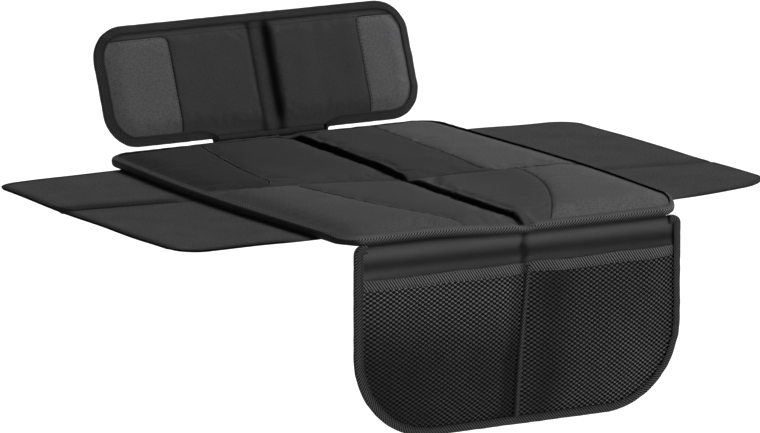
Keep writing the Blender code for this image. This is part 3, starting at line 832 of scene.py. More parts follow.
@dataclass(frozen=True)
class FoldedTape:
    """Binding tape folded over an edge.

    Attributes:
        lip: Width of the tape on each face.
        bottom: Height of its lower face.
        thickness: The tape's own thickness.
        bulge: How far its fold stands out past the edge.
        fall: How much lower the fold's top lies than the lip.
        pucker: Height of the slow waves that its stitches pull into it.
        corner: The most that the fold's corners are rounded.
        stitch_in: Distance from the lip's edge of the painted shade line along the stitches.
    """

    lip: float
    bottom: float
    thickness: float = 0.0008
    bulge: float = 0.0006
    fall: float = 0.0
    pucker: float = 0.00025
    corner: float = 0.0032
    stitch_in: float = 0.0016

    def build(
        self, name: str, track: Track, place: Place, top: Array, closed: bool, bottom: Array | None = None,
        station_shade: Array | float = 0.0, narrowing: Array | float = 1.0,
    ) -> Piece:
        """The tape as a profile carried along the track.

        The profile runs from the upper lip, over a half ellipse round the edge, to the lower lip. Its
        height at each station is set by the top, and waves of a few centimetres pucker it.

        Args:
            name: The piece's name.
            track: The edge's path, outward side on its right.
            place: The frame that the track lies in.
            top: Height of the tape's upper face at each station.
            closed: Whether the track is closed.
            bottom: Height of the lower face at each station, where it isn't even.
            station_shade: How much painted shade darkens the tape at each station, most on its fold and lower
                face.
            narrowing: The share of the lip's width that is left at each station.

        Returns:
            The tape.
        """
        lower = np.full(len(track.run), self.bottom) if bottom is None else bottom
        lip = np.linspace(1.0, 0.0, 5)[:-1]
        angles = np.linspace(0.0, math.pi, 13)
        turn_x, turn_z = np.abs(np.sin(angles)), np.cos(angles)
        half = (top - lower) / 2
        middle = (top + lower) / 2
        rounding = np.minimum(half, self.corner).mean() * 0.6
        out_lip = -self.lip * lip - rounding * (1 - lip)
        out_fold = turn_x**0.75 * (rounding + self.bulge) - rounding
        out = np.concatenate((out_lip, out_fold, out_lip[::-1]))
        level = np.concatenate((np.ones(4), np.sign(turn_z) * np.abs(turn_z) ** 0.6, -np.ones(4)))
        waves = Unevenness(len(name) + 3, 0.012, 0.05).at(track.run, track.run * 0.0)
        if closed:
            waves = waves * np.sin(math.pi * track.run / track.length) ** 0.5
        lowered = np.concatenate((1.0 - lip, unit(turn_z) ** 0.5, np.zeros(4))) * self.fall
        z = middle[None, :] + level[:, None] * half[None, :] - lowered[:, None]
        soft = self.pucker * waves[None, :] * np.abs(level[:, None])
        beyond = np.minimum(out[:, None], 0.0) * narrowing + np.maximum(out[:, None], 0.0) + soft
        x = track.points[None, :, 0] + track.outward[None, :, 0] * beyond
        y = track.points[None, :, 1] + track.outward[None, :, 1] * beyond
        width = run_along(np.stack((out, level * float(half.mean())), axis=1))
        flat = np.stack(np.broadcast_arrays(track.run[None, :], width[:, None]), axis=-1)
        # Painted shade: the fold's lower face and its top are painted darker than its middle, a dark line is
        # painted along the stitches, and the station shade is painted on, strongest on the fold and lower
        # face.
        rounded = np.interp(level, (-1.0, -0.6, 0.25, 0.9, 1.0), (0.75, 0.62, 0.0, 0.22, 0.30))
        groove = 0.35 * bell(width - self.stitch_in, 0.0007)
        below = np.interp(level, (0.45, 0.95), (2.3, 0.6))[:, None]
        shade = unit((rounded + groove)[:, None] + station_shade * below + np.zeros(x.shape))
        grid = Sheetlet(place.points(x, y, z + soft * 0.5), flat, shade)
        return cloth_from(name, [grid], self.thickness)

    def stitches(
        self, name: str, track: Track, place: Place, top: Array, narrowing: Array | float = 1.0,
        stitch_in: float = 0.0016, clear: float = 0.0,
    ) -> Piece:
        """The row of stitches just inside the tape's upper lip.

        Args:
            name: The piece's name.
            track: The tape's path.
            place: The frame that the track lies in.
            top: Height of the tape's upper face at each station.
            narrowing: The share of the lip's width that is left at each station.
            stitch_in: Distance of the row from the lip's edge.
            clear: The length at both of the track's ends that has no stitches.

        Returns:
            The row.
        """
        inward = np.broadcast_to(self.lip * narrowing - stitch_in, track.run.shape)[:, None]
        inner = track.points - track.outward * inward
        path = place.points(inner[:, 0], inner[:, 1], top + ABOVE_TAPE)
        path = path[np.minimum(track.run, track.length - track.run) >= clear]
        return Seam().build(name, [path], place.out)


@dataclass(frozen=True)
class Seam:
    """A row of stitches of one thread."""

    pitch: float = 0.0034
    length: float = 0.0024
    radius: float = 0.00028

    def build(self, name: str, paths: list[Array], out: tuple[float, float, float]) -> Piece:
        """The stitches as small spindles, each along its path and sunk at both ends.

        A spindle has rings of five points whose radius is the thread's times the root of one less the
        square of the place along it. Its ends dip by the thread's radius.

        Args:
            name: The piece's name.
            paths: Points of each row on the cloth's surface.
            out: The cloth's outward side.

        Returns:
            One object with every stitch.
        """
        centres, travels = [], []
        for path in paths:
            run = run_along(path)
            count = max(2, int(run[-1] / self.pitch))
            at = (np.arange(count) + 0.5) * run[-1] / count
            centres.append(read_path(at, run, path))
            travels.append(read_path(at + 0.0004, run, path) - read_path(at - 0.0004, run, path))
        centre, travel = np.concatenate(centres), np.concatenate(travels)
        travel /= np.linalg.norm(travel, axis=1, keepdims=True)
        up = np.array(out)
        side = np.cross(travel, up)
        side /= np.linalg.norm(side, axis=1, keepdims=True)
        along = np.array((-1.0, -0.72, 0.0, 0.72, 1.0))
        ring = np.sqrt(np.maximum(1.0 - along**2, 0.015))
        turn = np.arange(5) * 2 * math.pi / 5
        dip = self.radius * 1.3 * along[:, None] ** 2
        shift_up = ring[:, None] * np.sin(turn)[None, :] * self.radius - dip
        shift_side = ring[:, None] * np.cos(turn)[None, :] * self.radius
        points = (
            centre[:, None, None, :]
            + travel[:, None, None, :] * (along * self.length / 2)[None, :, None, None]
            + up * (shift_up + self.radius * 0.6)[None, :, :, None]
            + side[:, None, None, :] * shift_side[None, :, :, None]
        )
        number, ends = np.arange(len(centre)) * self.pitch, np.repeat(along, 5) * 0.001
        flat = np.stack((np.repeat(number, 25), np.tile(ends, len(centre))), axis=1)
        faces = tube_faces(5, 5, len(centre))
        made = mesh_object(name, points.reshape(-1, 3), faces, flat, np.zeros(len(flat)))
        with reshaped(made) as shape:
            open_edges = [edge for edge in shape.edges if edge.is_boundary]
            bmesh.ops.holes_fill(shape, edges=open_edges, sides=5)
        return made


# Simulated slack in the quilted covers


@dataclass(frozen=True)
class ReliefMap:
    """Heights on an even grid, read anywhere by a smooth four-point curve each way."""

    low: tuple[float, float]
    spacing: float
    heights: Array

    def at(self, x: Array, y: Array) -> Array:
        """The height at each point: Catmull-Rom weights of the sixteen grid values round it.

        Args:
            x: Widths.
            y: Depths.

        Returns:
            The height at each point.
        """
        rows, columns = self.heights.shape
        u = np.clip((x - self.low[0]) / self.spacing, 1.0, columns - 2.001)
        v = np.clip((y - self.low[1]) / self.spacing, 1.0, rows - 2.001)
        column, row = np.floor(u).astype(int), np.floor(v).astype(int)
        across, along = self.weights(u - column), self.weights(v - row)
        total = np.zeros(np.broadcast(x, y).shape)
        for down, weight_down in zip(range(-1, 3), along):
            for right, weight_right in zip(range(-1, 3), across):
                picked_row = np.clip(row + down, 0, rows - 1)
                picked_column = np.clip(column + right, 0, columns - 1)
                total += weight_down * weight_right * self.heights[picked_row, picked_column]
        return total

    @staticmethod
    def weights(share: Array) -> tuple[Array, Array, Array, Array]:
        """The four Catmull-Rom weights at a share of the way between the two middle values.

        Args:
            share: Place between the two middle values, from 0 to 1.

        Returns:
            One weight for each of the four values.
        """
        return (
            ((2.0 - share) * share - 1.0) * share / 2,
            (share * share * (3.0 * share - 5.0) + 2.0) / 2,
            ((4.0 - 3.0 * share) * share + 1.0) * share / 2,
            (share - 1.0) * share * share / 2,
        )


@dataclass(frozen=True)
class CoverSlack:
    """Cloth simulation of a cover that is pinned along its seams and pushed up by the foam."""

    spacing: float = 0.005
    pressure: float = 1.6
    slack: float = 0.012
    cap: float = 0.0022
    frames: int = 22

    def run(self, name: str, half: tuple[float, float], height: HeightRule, pinned: HeightRule) -> ReliefMap:
        """Lets the cover settle and gives how far each point rose.

        Args:
            name: Name of the passing cloth object.
            half: Half of the cover's width and depth.
            height: The cover's height before it settles.
            pinned: How firmly each point is held, from 0 to 1.
        """
        places = [-size + np.arange(int(2 * size / self.spacing) + 1) * self.spacing for size in half]
        x, y = np.meshgrid(*places)
        start = height(x, y)
        low = (-half[0], -half[1])
        points, flat = joined(x, y, start), joined(x, y)
        faces = Sheetlet(points, flat).faces(0)
        cloth = mesh_object(name, points.reshape(-1, 3), faces, flat.reshape(-1, 2), start.ravel())
        group = cloth.vertex_groups.new(name="held")
        held = unit(pinned(x, y)).ravel()
        for level in np.unique(np.round(held, 1)):
            group.add(np.flatnonzero(np.round(held, 1) == level).tolist(), float(level), "REPLACE")
        modifier = cloth.modifiers.new("settle", "CLOTH")
        settings = modifier.settings
        settings.quality = 5
        settings.mass = 0.15
        settings.tension_stiffness = 12.0
        settings.compression_stiffness = 12.0
        settings.shear_stiffness = 6.0
        settings.bending_stiffness = 0.05
        settings.use_pressure = True
        settings.uniform_pressure_force = self.pressure
        settings.vertex_group_mass = "held"
        settings.shrink_min = -self.slack
        settings.effector_weights.gravity = 0.0
        modifier.collision_settings.use_collision = False
        modifier.point_cache.frame_start = 1
        modifier.point_cache.frame_end = self.frames
        scene = bpy.context.scene
        for step in range(1, self.frames + 1):
            scene.frame_set(step)
        settled = cloth.evaluated_get(bpy.context.evaluated_depsgraph_get())
        found = np.empty(len(cloth.data.vertices) * 3, np.float32)
        settled.data.vertices.foreach_get("co", found)
        scene.frame_set(1)
        rise = found.reshape(-1, 3)[:, 2].astype(float).reshape(start.shape) - start
        bpy.data.objects.remove(cloth, do_unlink=True)
        LOG.info("%s settled: rose by up to %.2f mm", name, 1000 * float(rise.max()))
        return ReliefMap(low, self.spacing, self.cap * np.tanh(rise / self.cap))


# Seat pad


class Half(Enum):
    """The two halves of the seat pad, before and behind its cross crease."""

    FRONT = -1
    REAR = 1


class Side(Enum):
    """The two sides of a pad."""

    LEFT = -1
    RIGHT = 1


def front_drop(x: Array) -> Array:
    """How far the front edge hangs lower at each width: 1 mm on the left and 8 mm from the middle on."""
    return 0.0010 + 0.0070 * ease(x + 0.12, 0.14)


def near_front(y: Array) -> Array:
    """The share of that drop at each depth: a soft step from 0 behind the last 35 mm to 1 at the edge."""
    return ease(-y - 0.245, 0.035)


@dataclass
class SeatPad:
    """The quilted seat pad: a main cover, four accent panels, foam, lining, edge tape and stitches."""

    wardrobe: Wardrobe
    half_width: float = 0.225
    half_depth: float = 0.280
    front_radius: float = 0.025
    rear_radius: float = 0.034
    lip: float = 0.0098
    inset: float = 0.0011
    edge_top: float = 0.0107
    edge_fall: float = 0.0014
    crown_right: float = 0.0152
    crown_left: float = 0.0146
    edge_shoulder: float = 0.024
    channel_front_x: float = 0.0125
    channel_rear_x: float = 0.024
    channel_floor: float = 0.0082
    channel_left_shoulder: float = 0.026
    channel_right_shoulder: float = 0.0050
    channel_half: float = 0.0016
    crease_y: float = -0.013
    crease_slant: float = -0.165
    crease_depth: float = 0.0040
    crease_shoulder: float = 0.026
    middle_flat: float = 0.0046
    floor_flat: float = 0.0034
    front_thinner: float = 0.0029
    strip_half: float = 0.004
    notch_depth: float = 0.0030
    notch_half: float = 0.014
    underside: float = 0.0023
    foam_bottom: float = 0.0047
    foam_gap: float = 0.012
    foam_inset: float = 0.016
    cloth: float = 0.0010
    softer: float = 0.012
    uneven: float = 0.00035
    seam_depth: float = 0.0008
    seam_width: float = 0.0020
    seams: dict[tuple[Half, Side], tuple[float, float, float]] = field(
        default_factory=lambda: {
            (Half.REAR, Side.RIGHT): (0.113, 0.121, 0.134),
            (Half.REAR, Side.LEFT): (-0.139, -0.127, -0.102),
            (Half.FRONT, Side.RIGHT): (0.145, 0.118, 0.050),
            (Half.FRONT, Side.LEFT): (-0.125, -0.100, -0.055),
        }
    )
    seam_corner: dict[Half, float] = field(default_factory=lambda: {Half.REAR: 0.022, Half.FRONT: 0.006})
    stitch_in: float = 0.0019
    bow: float = 0.011
    tuck: float = 0.0012
    # Painted shade on each accent panel: the left ones darker, the rear left one most, as if the light falls
    # from the right.
    painted_shade: dict[tuple[Half, Side], float] = field(
        default_factory=lambda: {
            (Half.REAR, Side.RIGHT): 0.149,
            (Half.REAR, Side.LEFT): 0.772,
            (Half.FRONT, Side.RIGHT): 0.128,
            (Half.FRONT, Side.LEFT): 0.375,
        }
    )
    slack: ReliefMap | None = None

    def channel_x(self, y: Array) -> Array:
        """Where the channel runs: a parabola from front to rear, turned right by 4 mm at the front tape."""
        parabola = (self.channel_rear_x - self.channel_front_x) * (y / (2 * self.half_depth) + 0.5) ** 2
        return self.channel_front_x + parabola + 0.004 * bell(y + self.half_depth, 0.05)

    def crease_at(self, x: Array) -> Array:
        """Where the cross crease runs at each width."""
        return self.crease_y + self.crease_slant * x

    def bowed(self, x: Array, y: Array) -> Array:
        """The width with both sides bowed out at the crease.

        The shift is the bow times the square of how far the point lies out to the side, times a cosine
        to the power 1.4 that is 1 at the crease's end and 0 at the pad's corners.

        Args:
            x: Widths.
            y: Depths.

        Returns:
            The widths, moved out.
        """
        side = np.where(x > 0, 1.0, -1.0)
        peak = self.crease_at(side * self.half_width)
        reach = np.where(y > peak, self.half_depth - peak, self.half_depth + peak)
        hump = np.cos(math.pi / 2 * unit(np.abs(y - peak) / reach)) ** 1.4
        return x + side * self.bow * (x / self.half_width) ** 2 * hump

    def notch(self, x: Array, y: Array) -> Array:
        """How far the edge dips where the channel runs out: a parabola across the notch."""
        across = np.abs(x - self.channel_x(y)) / self.notch_half
        return self.notch_depth * unit(1.0 - across**2)

    def seam_x(self, half: Half, side: Side, share: Array) -> Array:
        """The accent seam's place at a share of the way from the crease to the pad's end.

        It is the parabola through the seam's three places, turned outward by a quarter circle at the
        crease.

        Args:
            half: Which half.
            side: Which side.
            share: 0 at the crease and 1 at the pad's end.

        Returns:
            Widths.
        """
        start, middle, end = self.seams[(half, side)]
        bend = 2 * (start + end) - 4 * middle
        slope = end - start - bend
        radius = self.seam_corner[half]
        left = radius - np.clip(share * self.half_depth, 0.0, radius)
        return start + slope * share + bend * share**2 + side.value * round_off(left, radius)

    def row_y(self, half: Half, x: Array, share: Array) -> Array:
        """Depth at a share of the way from the crease strip to the pad's end."""
        start = self.crease_at(x) + half.value * self.strip_half
        return start * (1.0 - share) + half.value * (self.half_depth - self.inset) * share

    def outer_x(self, y: Array) -> Array:
        """Half width of the cover at each depth, drawn in by the rounded corner."""
        radius = np.where(y < 0, self.front_radius, self.rear_radius) - self.inset
        return rounded_side(y, (self.half_width - self.inset, self.half_depth - self.inset), radius)

    def seam_distance(self, x: Array, y: Array) -> Array:
        """Distance to the nearest accent seam, from the seam's side and from the crease strip's side.

        Args:
            x: Widths.
            y: Depths.

        Returns:
            Metres to the nearest seam.
        """
        nearest = np.full(np.broadcast(x, y).shape, 1.0)
        for (half, side) in self.seams:
            crease = half.value * self.crease_at(x) + self.strip_half
            behind = half.value * y - crease
            share = unit(behind / (self.half_depth - self.inset - crease))
            beyond = side.value * (x - self.seam_x(half, side, share))
            inner = np.minimum(beyond, behind)
            outer = -np.hypot(np.minimum(beyond, 0.0), np.minimum(behind, 0.0))
            both = np.where((beyond < 0) | (behind < 0), outer, inner)
            nearest = np.minimum(nearest, np.abs(both))
        return nearest

    def plump(self, x: Array, y: Array) -> Array:
        """Height of the cover before it settles.

        Each cell rises by a sine shoulder from the tape and from the channel, gently on the left of the
        channel and steeply on its right, and dips by a sine shoulder at the crease. From the crease
        forward it is pressed flatter by a bell curve round the channel.

        Args:
            x: Widths.
            y: Depths.

        Returns:
            Heights.
        """
        half = (self.half_width, self.half_depth)
        corner = np.where(y < 0, self.front_radius, self.rear_radius)
        inside = rounded_inset(x, y, half, corner + self.softer)
        from_edge = shoulder(inside - self.lip, self.edge_shoulder)
        from_channel = x - self.channel_x(y)
        left = shoulder(-from_channel - self.channel_half, self.channel_left_shoulder)
        right = shoulder(from_channel - self.channel_half, self.channel_right_shoulder)
        is_right = from_channel > 0
        crown = np.where(is_right, self.crown_right, self.crown_left)
        from_crease = shoulder(np.abs(y - self.crease_at(x)), self.crease_shoulder)
        pressed = ease(0.06 - y, 0.08)
        flatter = self.middle_flat * pressed * bell(x - 0.02, 0.10)
        cell = crown - self.crease_depth * (1.0 - from_crease) - flatter
        lift = np.where(is_right, right, left)
        floor = self.channel_floor - self.floor_flat * pressed
        cover = floor + (np.maximum(cell, floor + 0.0012) - floor) * lift
        under_tape = 1.0 - unit(rounded_inset(x, y, half, corner) / self.lip)
        edge = self.edge_top - self.front_thinner * near_front(y) - self.notch(x, y)
        edge = edge - self.edge_fall * under_tape
        return edge + (cover - edge) * from_edge

    def held(self, x: Array, y: Array) -> Array:
        """Where the cover is sewn down: at the tape, the channel, the crease and the accent seams.

        Args:
            x: Widths.
            y: Depths.

        Returns:
            From 0, free, to 1, held.
        """
        at_edge = 1.0 - self.clear(x, y, 0.006)
        at_channel = bell(x - self.channel_x(y) - 0.002, 0.006)
        at_crease = 0.6 * bell(y - self.crease_at(x), 0.004)
        at_seam = 0.5 * bell(self.seam_distance(x, y), 0.0045)
        return np.maximum.reduce([at_edge, at_channel, at_crease, at_seam])

    def cover_z(self, x: Array, y: Array) -> Array:
        """Height of the finished cover: the settled height, less the accent seams' grooves.

        Args:
            x: Widths.
            y: Depths.

        Returns:
            Heights.
        """
        groove = self.seam_depth * bell(self.seam_distance(x, y), self.seam_width)
        groove = groove * np.where(x > 0, 1.0, 0.5)
        uneven = self.uneven * Unevenness(5, 0.05, 0.16).at(x, y)
        rise = self.slack.at(x, y) if self.slack else 0.0
        return self.plump(x, y) + self.clear(x, y, 0.008) * (uneven + rise - groove) - self.droop(x, y)

    def clear(self, x: Array, y: Array, width: float) -> Array:
        """0 under the tape and 1 from the width inside it on."""
        inside = rounded_inset(x, y, (self.half_width, self.half_depth), 0.03)
        return ease(inside - self.lip, width)

    def droop(self, x: Array, y: Array) -> Array:
        """How far the pad hangs lower near its front edge."""
        return front_drop(x) * near_front(y)

    def fold_shade(self, x: Array, y: Array) -> Array:
        """Painted shade: black along the channel's steep right flank, a softer painted shade on the slope
        left of it, dark in the right seams' grooves and along the crease.

        Args:
            x: Widths.
            y: Depths.

        Returns:
            From 0, open, to 1, black.
        """
        from_channel = x - self.channel_x(y)
        width = 0.0034 + 0.0010 * np.sin(TURN * y / 0.19 + 1.1)
        width = width * (1.0 - 0.7 * bell(y - self.crease_at(x), 0.018))
        fade = ease(self.half_depth - self.lip * 0.6 - np.abs(y), 0.006)
        band = ease(from_channel + 0.0070, 0.0050) * (1.0 - ease(from_channel - width, 0.0040))
        slope = 0.35 * ease(from_channel + 0.022, 0.022) * (from_channel < 0)
        seam = bell(self.seam_distance(x, y), 0.0009) * np.where(x > 0, 0.75, 0.0)
        crease = 0.22 * bell(y - self.crease_at(x), 0.0022) * (self.seam_distance(x, y) > 0.002)
        return unit(np.maximum(band * (0.4 + 0.6 * fade), slope) + seam + crease)

    def panel(self, x: Array, y: Array, painted_shade: Array | float = 0.0) -> Sheetlet:
        """A grid of the cover over the given places, darkened by painted shade.

        Args:
            x: Widths.
            y: Depths.
            painted_shade: How much more painted shade darkens it.

        Returns:
            The grid.
        """
        points = joined(self.bowed(x, y), y, self.cover_z(x, y))
        shade = unit(self.fold_shade(x, y) + painted_shade)
        return Sheetlet(points, joined(x, y), shade)

    def main_painted_shade(self, x: Array, y: Array) -> Array:
        """Painted shade on the main cloth: palest by the channel in front, and darkest in the rear left
        corner.

        Args:
            x: Widths.
            y: Depths.

        Returns:
            How much darker the cloth is painted.
        """
        behind = ease(y - self.crease_at(x) + 0.010, 0.020)
        paler = 0.133 * bell(x - self.channel_x(y), 0.045) * (1.0 - behind)
        return 0.133 + 0.175 * behind - paler + 0.18 * ease(0.05 - x, 0.16) * ease(y + 0.02, 0.20)

    def half_grid(self, half: Half, inner: Array, share: Array) -> Sheetlet:
        """The main cover in one half: from seam to seam, with columns drawn to the channel.

        Args:
            half: Which half.
            inner: Columns from -1 at the left seam to 1 at the right.
            share: Rows from 0 at the crease to 1 at the end.

        Returns:
            The grid.
        """
        across, down = np.meshgrid(inner, share)
        left = self.seam_x(half, Side.LEFT, down)
        right = self.seam_x(half, Side.RIGHT, down)
        y_guess = self.row_y(half, np.zeros_like(down), down)
        x = between(across, self.channel_x(y_guess), left, right)
        y = self.row_y(half, x, down)
        grid = self.panel(x, y, self.main_painted_shade(x, y))
        grid.turned = half is Half.FRONT
        return grid

    def accent_grid(self, half: Half, side: Side, share: Array) -> Sheetlet:
        """One accent panel: from its seam to the pad's side, with both inner edges tucked under.

        Args:
            half: Which half.
            side: Which side.
            share: Rows from 0 at the crease to 1 at the end.

        Returns:
            The grid.
        """
        columns = np.concatenate(([0.0], graded(34, 1.4)))
        across, down = np.meshgrid(columns, np.concatenate(([0.0], share)))
        seam = self.seam_x(half, side, down) + 0.00005 * side.value
        rim = side.value * self.outer_x(self.row_y(half, side.value * self.half_width, down))
        x = seam + (rim - seam) * across
        # Painted shade: the front left accent is painted darker towards its left corner.
        corner = 0.13 * ease(-x - 0.14, 0.08) * (half is Half.FRONT)
        grid = self.panel(x, self.row_y(half, x, down), self.painted_shade[(half, side)] + corner)
        grid.points[:, 0] -= np.array((side.value * self.tuck, 0.0, self.tuck))
        grid.points[0, :] -= np.array((0.0, half.value * self.tuck, self.tuck))
        grid.turned = (half is Half.FRONT) != (side is Side.LEFT)
        return grid

    def strip_grid(self) -> Sheetlet:
        """The strip of main cover along the crease, from side to side.

        Returns:
            The grid.
        """
        across, down = np.meshgrid(mirrored(graded(56, 1.5)), np.linspace(-1.0, 1.0, 9))
        rim = self.half_width - self.inset
        x = between(across, self.channel_x(np.zeros_like(down)), -rim, rim)
        y = self.crease_at(x) + down * self.strip_half
        return self.panel(x, y, self.main_painted_shade(x, y))

    def foam_block(self, half: Half, side: Side) -> Piece:
        """A foam insert: its top follows the cover, its sides stand at the channel, crease and tape.

        Args:
            half: Which half.
            side: Which side.

        Returns:
            The block.
        """
        across, down = np.meshgrid(np.linspace(0.0, 1.0, 28), np.linspace(0.0, 1.0, 34))
        y = half.value * (0.004 + (self.half_depth - self.foam_inset) * down) + self.crease_y * (1.0 - down)
        near = self.channel_x(y) + side.value * self.foam_gap
        far = side.value * (self.half_width - self.foam_inset)
        x = near + (far - near) * across
        y = y + self.crease_slant * x * (1.0 - down)
        bottom = self.foam_bottom - self.droop(x, y)
        top = np.maximum(self.cover_z(x, y) - self.cloth - 0.0008, bottom + 0.0004)
        upper = joined(self.bowed(x, y), y, top)
        lower = joined(self.bowed(x, y), y, bottom)
        flat = joined(x, y)
        name = f"seat_foam_block_{half.name.lower()}_{side.name.lower()}"
        return foam_between(name, upper, lower, flat, half.value * side.value < 0)

    def outline(self) -> Track:
        """The pad's edge, run counter-clockwise from the front left corner, before its sides bow out.

        Returns:
            The closed path.
        """
        x, y = self.half_width, self.half_depth
        corners = [
            (-x, -y, self.front_radius),
            (x, -y, self.front_radius),
            (x, y, self.rear_radius),
            (-x, y, self.rear_radius),
        ]
        return track_through(corners, True, TRACK_STEP)

    def stitch_rows(self, side: Side) -> list[Array]:
        """The stitch lines beside the accent seams of one side.

        Args:
            side: Which side.

        Returns:
            The points of each line on the cover.
        """
        rows, share = [], np.linspace(0.03, 0.95, 240)
        for half in (Half.REAR, Half.FRONT):
            x = self.seam_x(half, side, share) - side.value * self.stitch_in
            rows.append(self.panel(x, self.row_y(half, x, share)).points)
        return rows

    def build(self) -> None:
        """Builds and dresses every piece of the seat pad."""
        wardrobe = self.wardrobe
        size = (self.half_width, self.half_depth)
        self.slack = CoverSlack().run("seat_settling", size, self.plump, self.held)
        inner = mirrored(graded(66, 1.55))
        share = np.concatenate((graded(13, 1.6) * 0.09, np.linspace(0.09, 1.0, 92)[1:]))
        grids = [self.half_grid(half, inner, share) for half in Half] + [self.strip_grid()]
        cover = cloth_from("seat_main_cover", grids, self.cloth)
        wardrobe.dress(cover, Finish.MAIN, "main_cloth", "seat_main_panel")
        for (half, side) in self.seams:
            name = f"{half.name.lower()}_{side.name.lower()}"
            grid = self.accent_grid(half, side, share)
            panel = cloth_from(f"seat_accent_cover_{name}", [grid], self.cloth)
            wardrobe.dress(panel, Finish.ACCENT, "accent_cloth", f"seat_accent_{name}")
            block = self.foam_block(half, side)
            wardrobe.dress(block, Finish.FOAM, "foam", f"seat_foam_{name}")
        self.build_lining()
        self.build_tape()
        fine = Seam(pitch=0.0030, length=0.0021, radius=0.00022)
        dark = fine.build("seat_dark_stitches", self.stitch_rows(Side.RIGHT), UP)
        wardrobe.dress(dark, Finish.THREAD, "main_cloth")
        bold = Seam(pitch=0.0026, length=0.0023, radius=0.00040)
        pale = bold.build("seat_pale_stitches", self.stitch_rows(Side.LEFT), UP)
        wardrobe.dress(pale, Finish.PALE_THREAD, "main_cloth")

    def build_lining(self) -> None:
        """The flat lining under the foam, inside the tape."""
        across, down = np.meshgrid(np.linspace(-1.0, 1.0, 40), np.linspace(-1.0, 1.0, 50))
        y = down * (self.half_depth - 0.0018)
        x = across * (self.outer_x(y) - 0.0007)
        z = self.underside + 0.0021 - self.droop(x, y)
        grid = Sheetlet(joined(self.bowed(x, y), y, z), joined(x, y))
        lining = cloth_from("seat_lining_cloth", [grid], self.cloth)
        self.wardrobe.dress(lining, Finish.LINING, "lining", "seat_lining")

    def build_tape(self) -> None:
        """The edge tape, dipped at the channel's ends and deeper along the front."""
        straight = self.outline()
        x, y = straight.points[:, 0], straight.points[:, 1]
        track = Track(np.column_stack((self.bowed(x, y), y)), straight.outward, straight.run)
        out_x, out_y = track.outward[:, 0], track.outward[:, 1]
        at_front = ease(-out_y - 0.35, 0.5) * ease(self.half_width - 0.006 - np.abs(x), 0.02)
        sunk = self.front_thinner * near_front(y) + self.droop(x, y)
        top = self.edge_top + 0.0011 - self.notch(x, y) * 1.15 + 0.0003 * at_front - sunk
        bottom = self.underside - 0.0018 * at_front - self.droop(x, y)
        tape = FoldedTape(lip=self.lip, bottom=self.underside, bulge=0.0012, fall=self.edge_fall)
        # Painted shade on the tape: darkest along the left side, a little along the front, rear and right.
        station_shade = 0.58 * ease(-out_x + 0.2, 0.8) + 0.12 * ease(out_x - 0.2, 0.8)
        narrowing = 1.0 - 0.42 * ease(0.95 + out_y, 0.5) - 0.22 * ease(out_x - 0.3, 0.5)
        made = tape.build("seat_edge_tape", track, Place(), top, True, bottom, station_shade, narrowing)
        self.wardrobe.dress(made, Finish.EDGE_TAPE, "twill_tape", "seat_binding")
        row = tape.stitches("seat_tape_stitches", track, Place(), top, narrowing)
        self.wardrobe.dress(row, Finish.THREAD, "twill_tape")


# Back pad


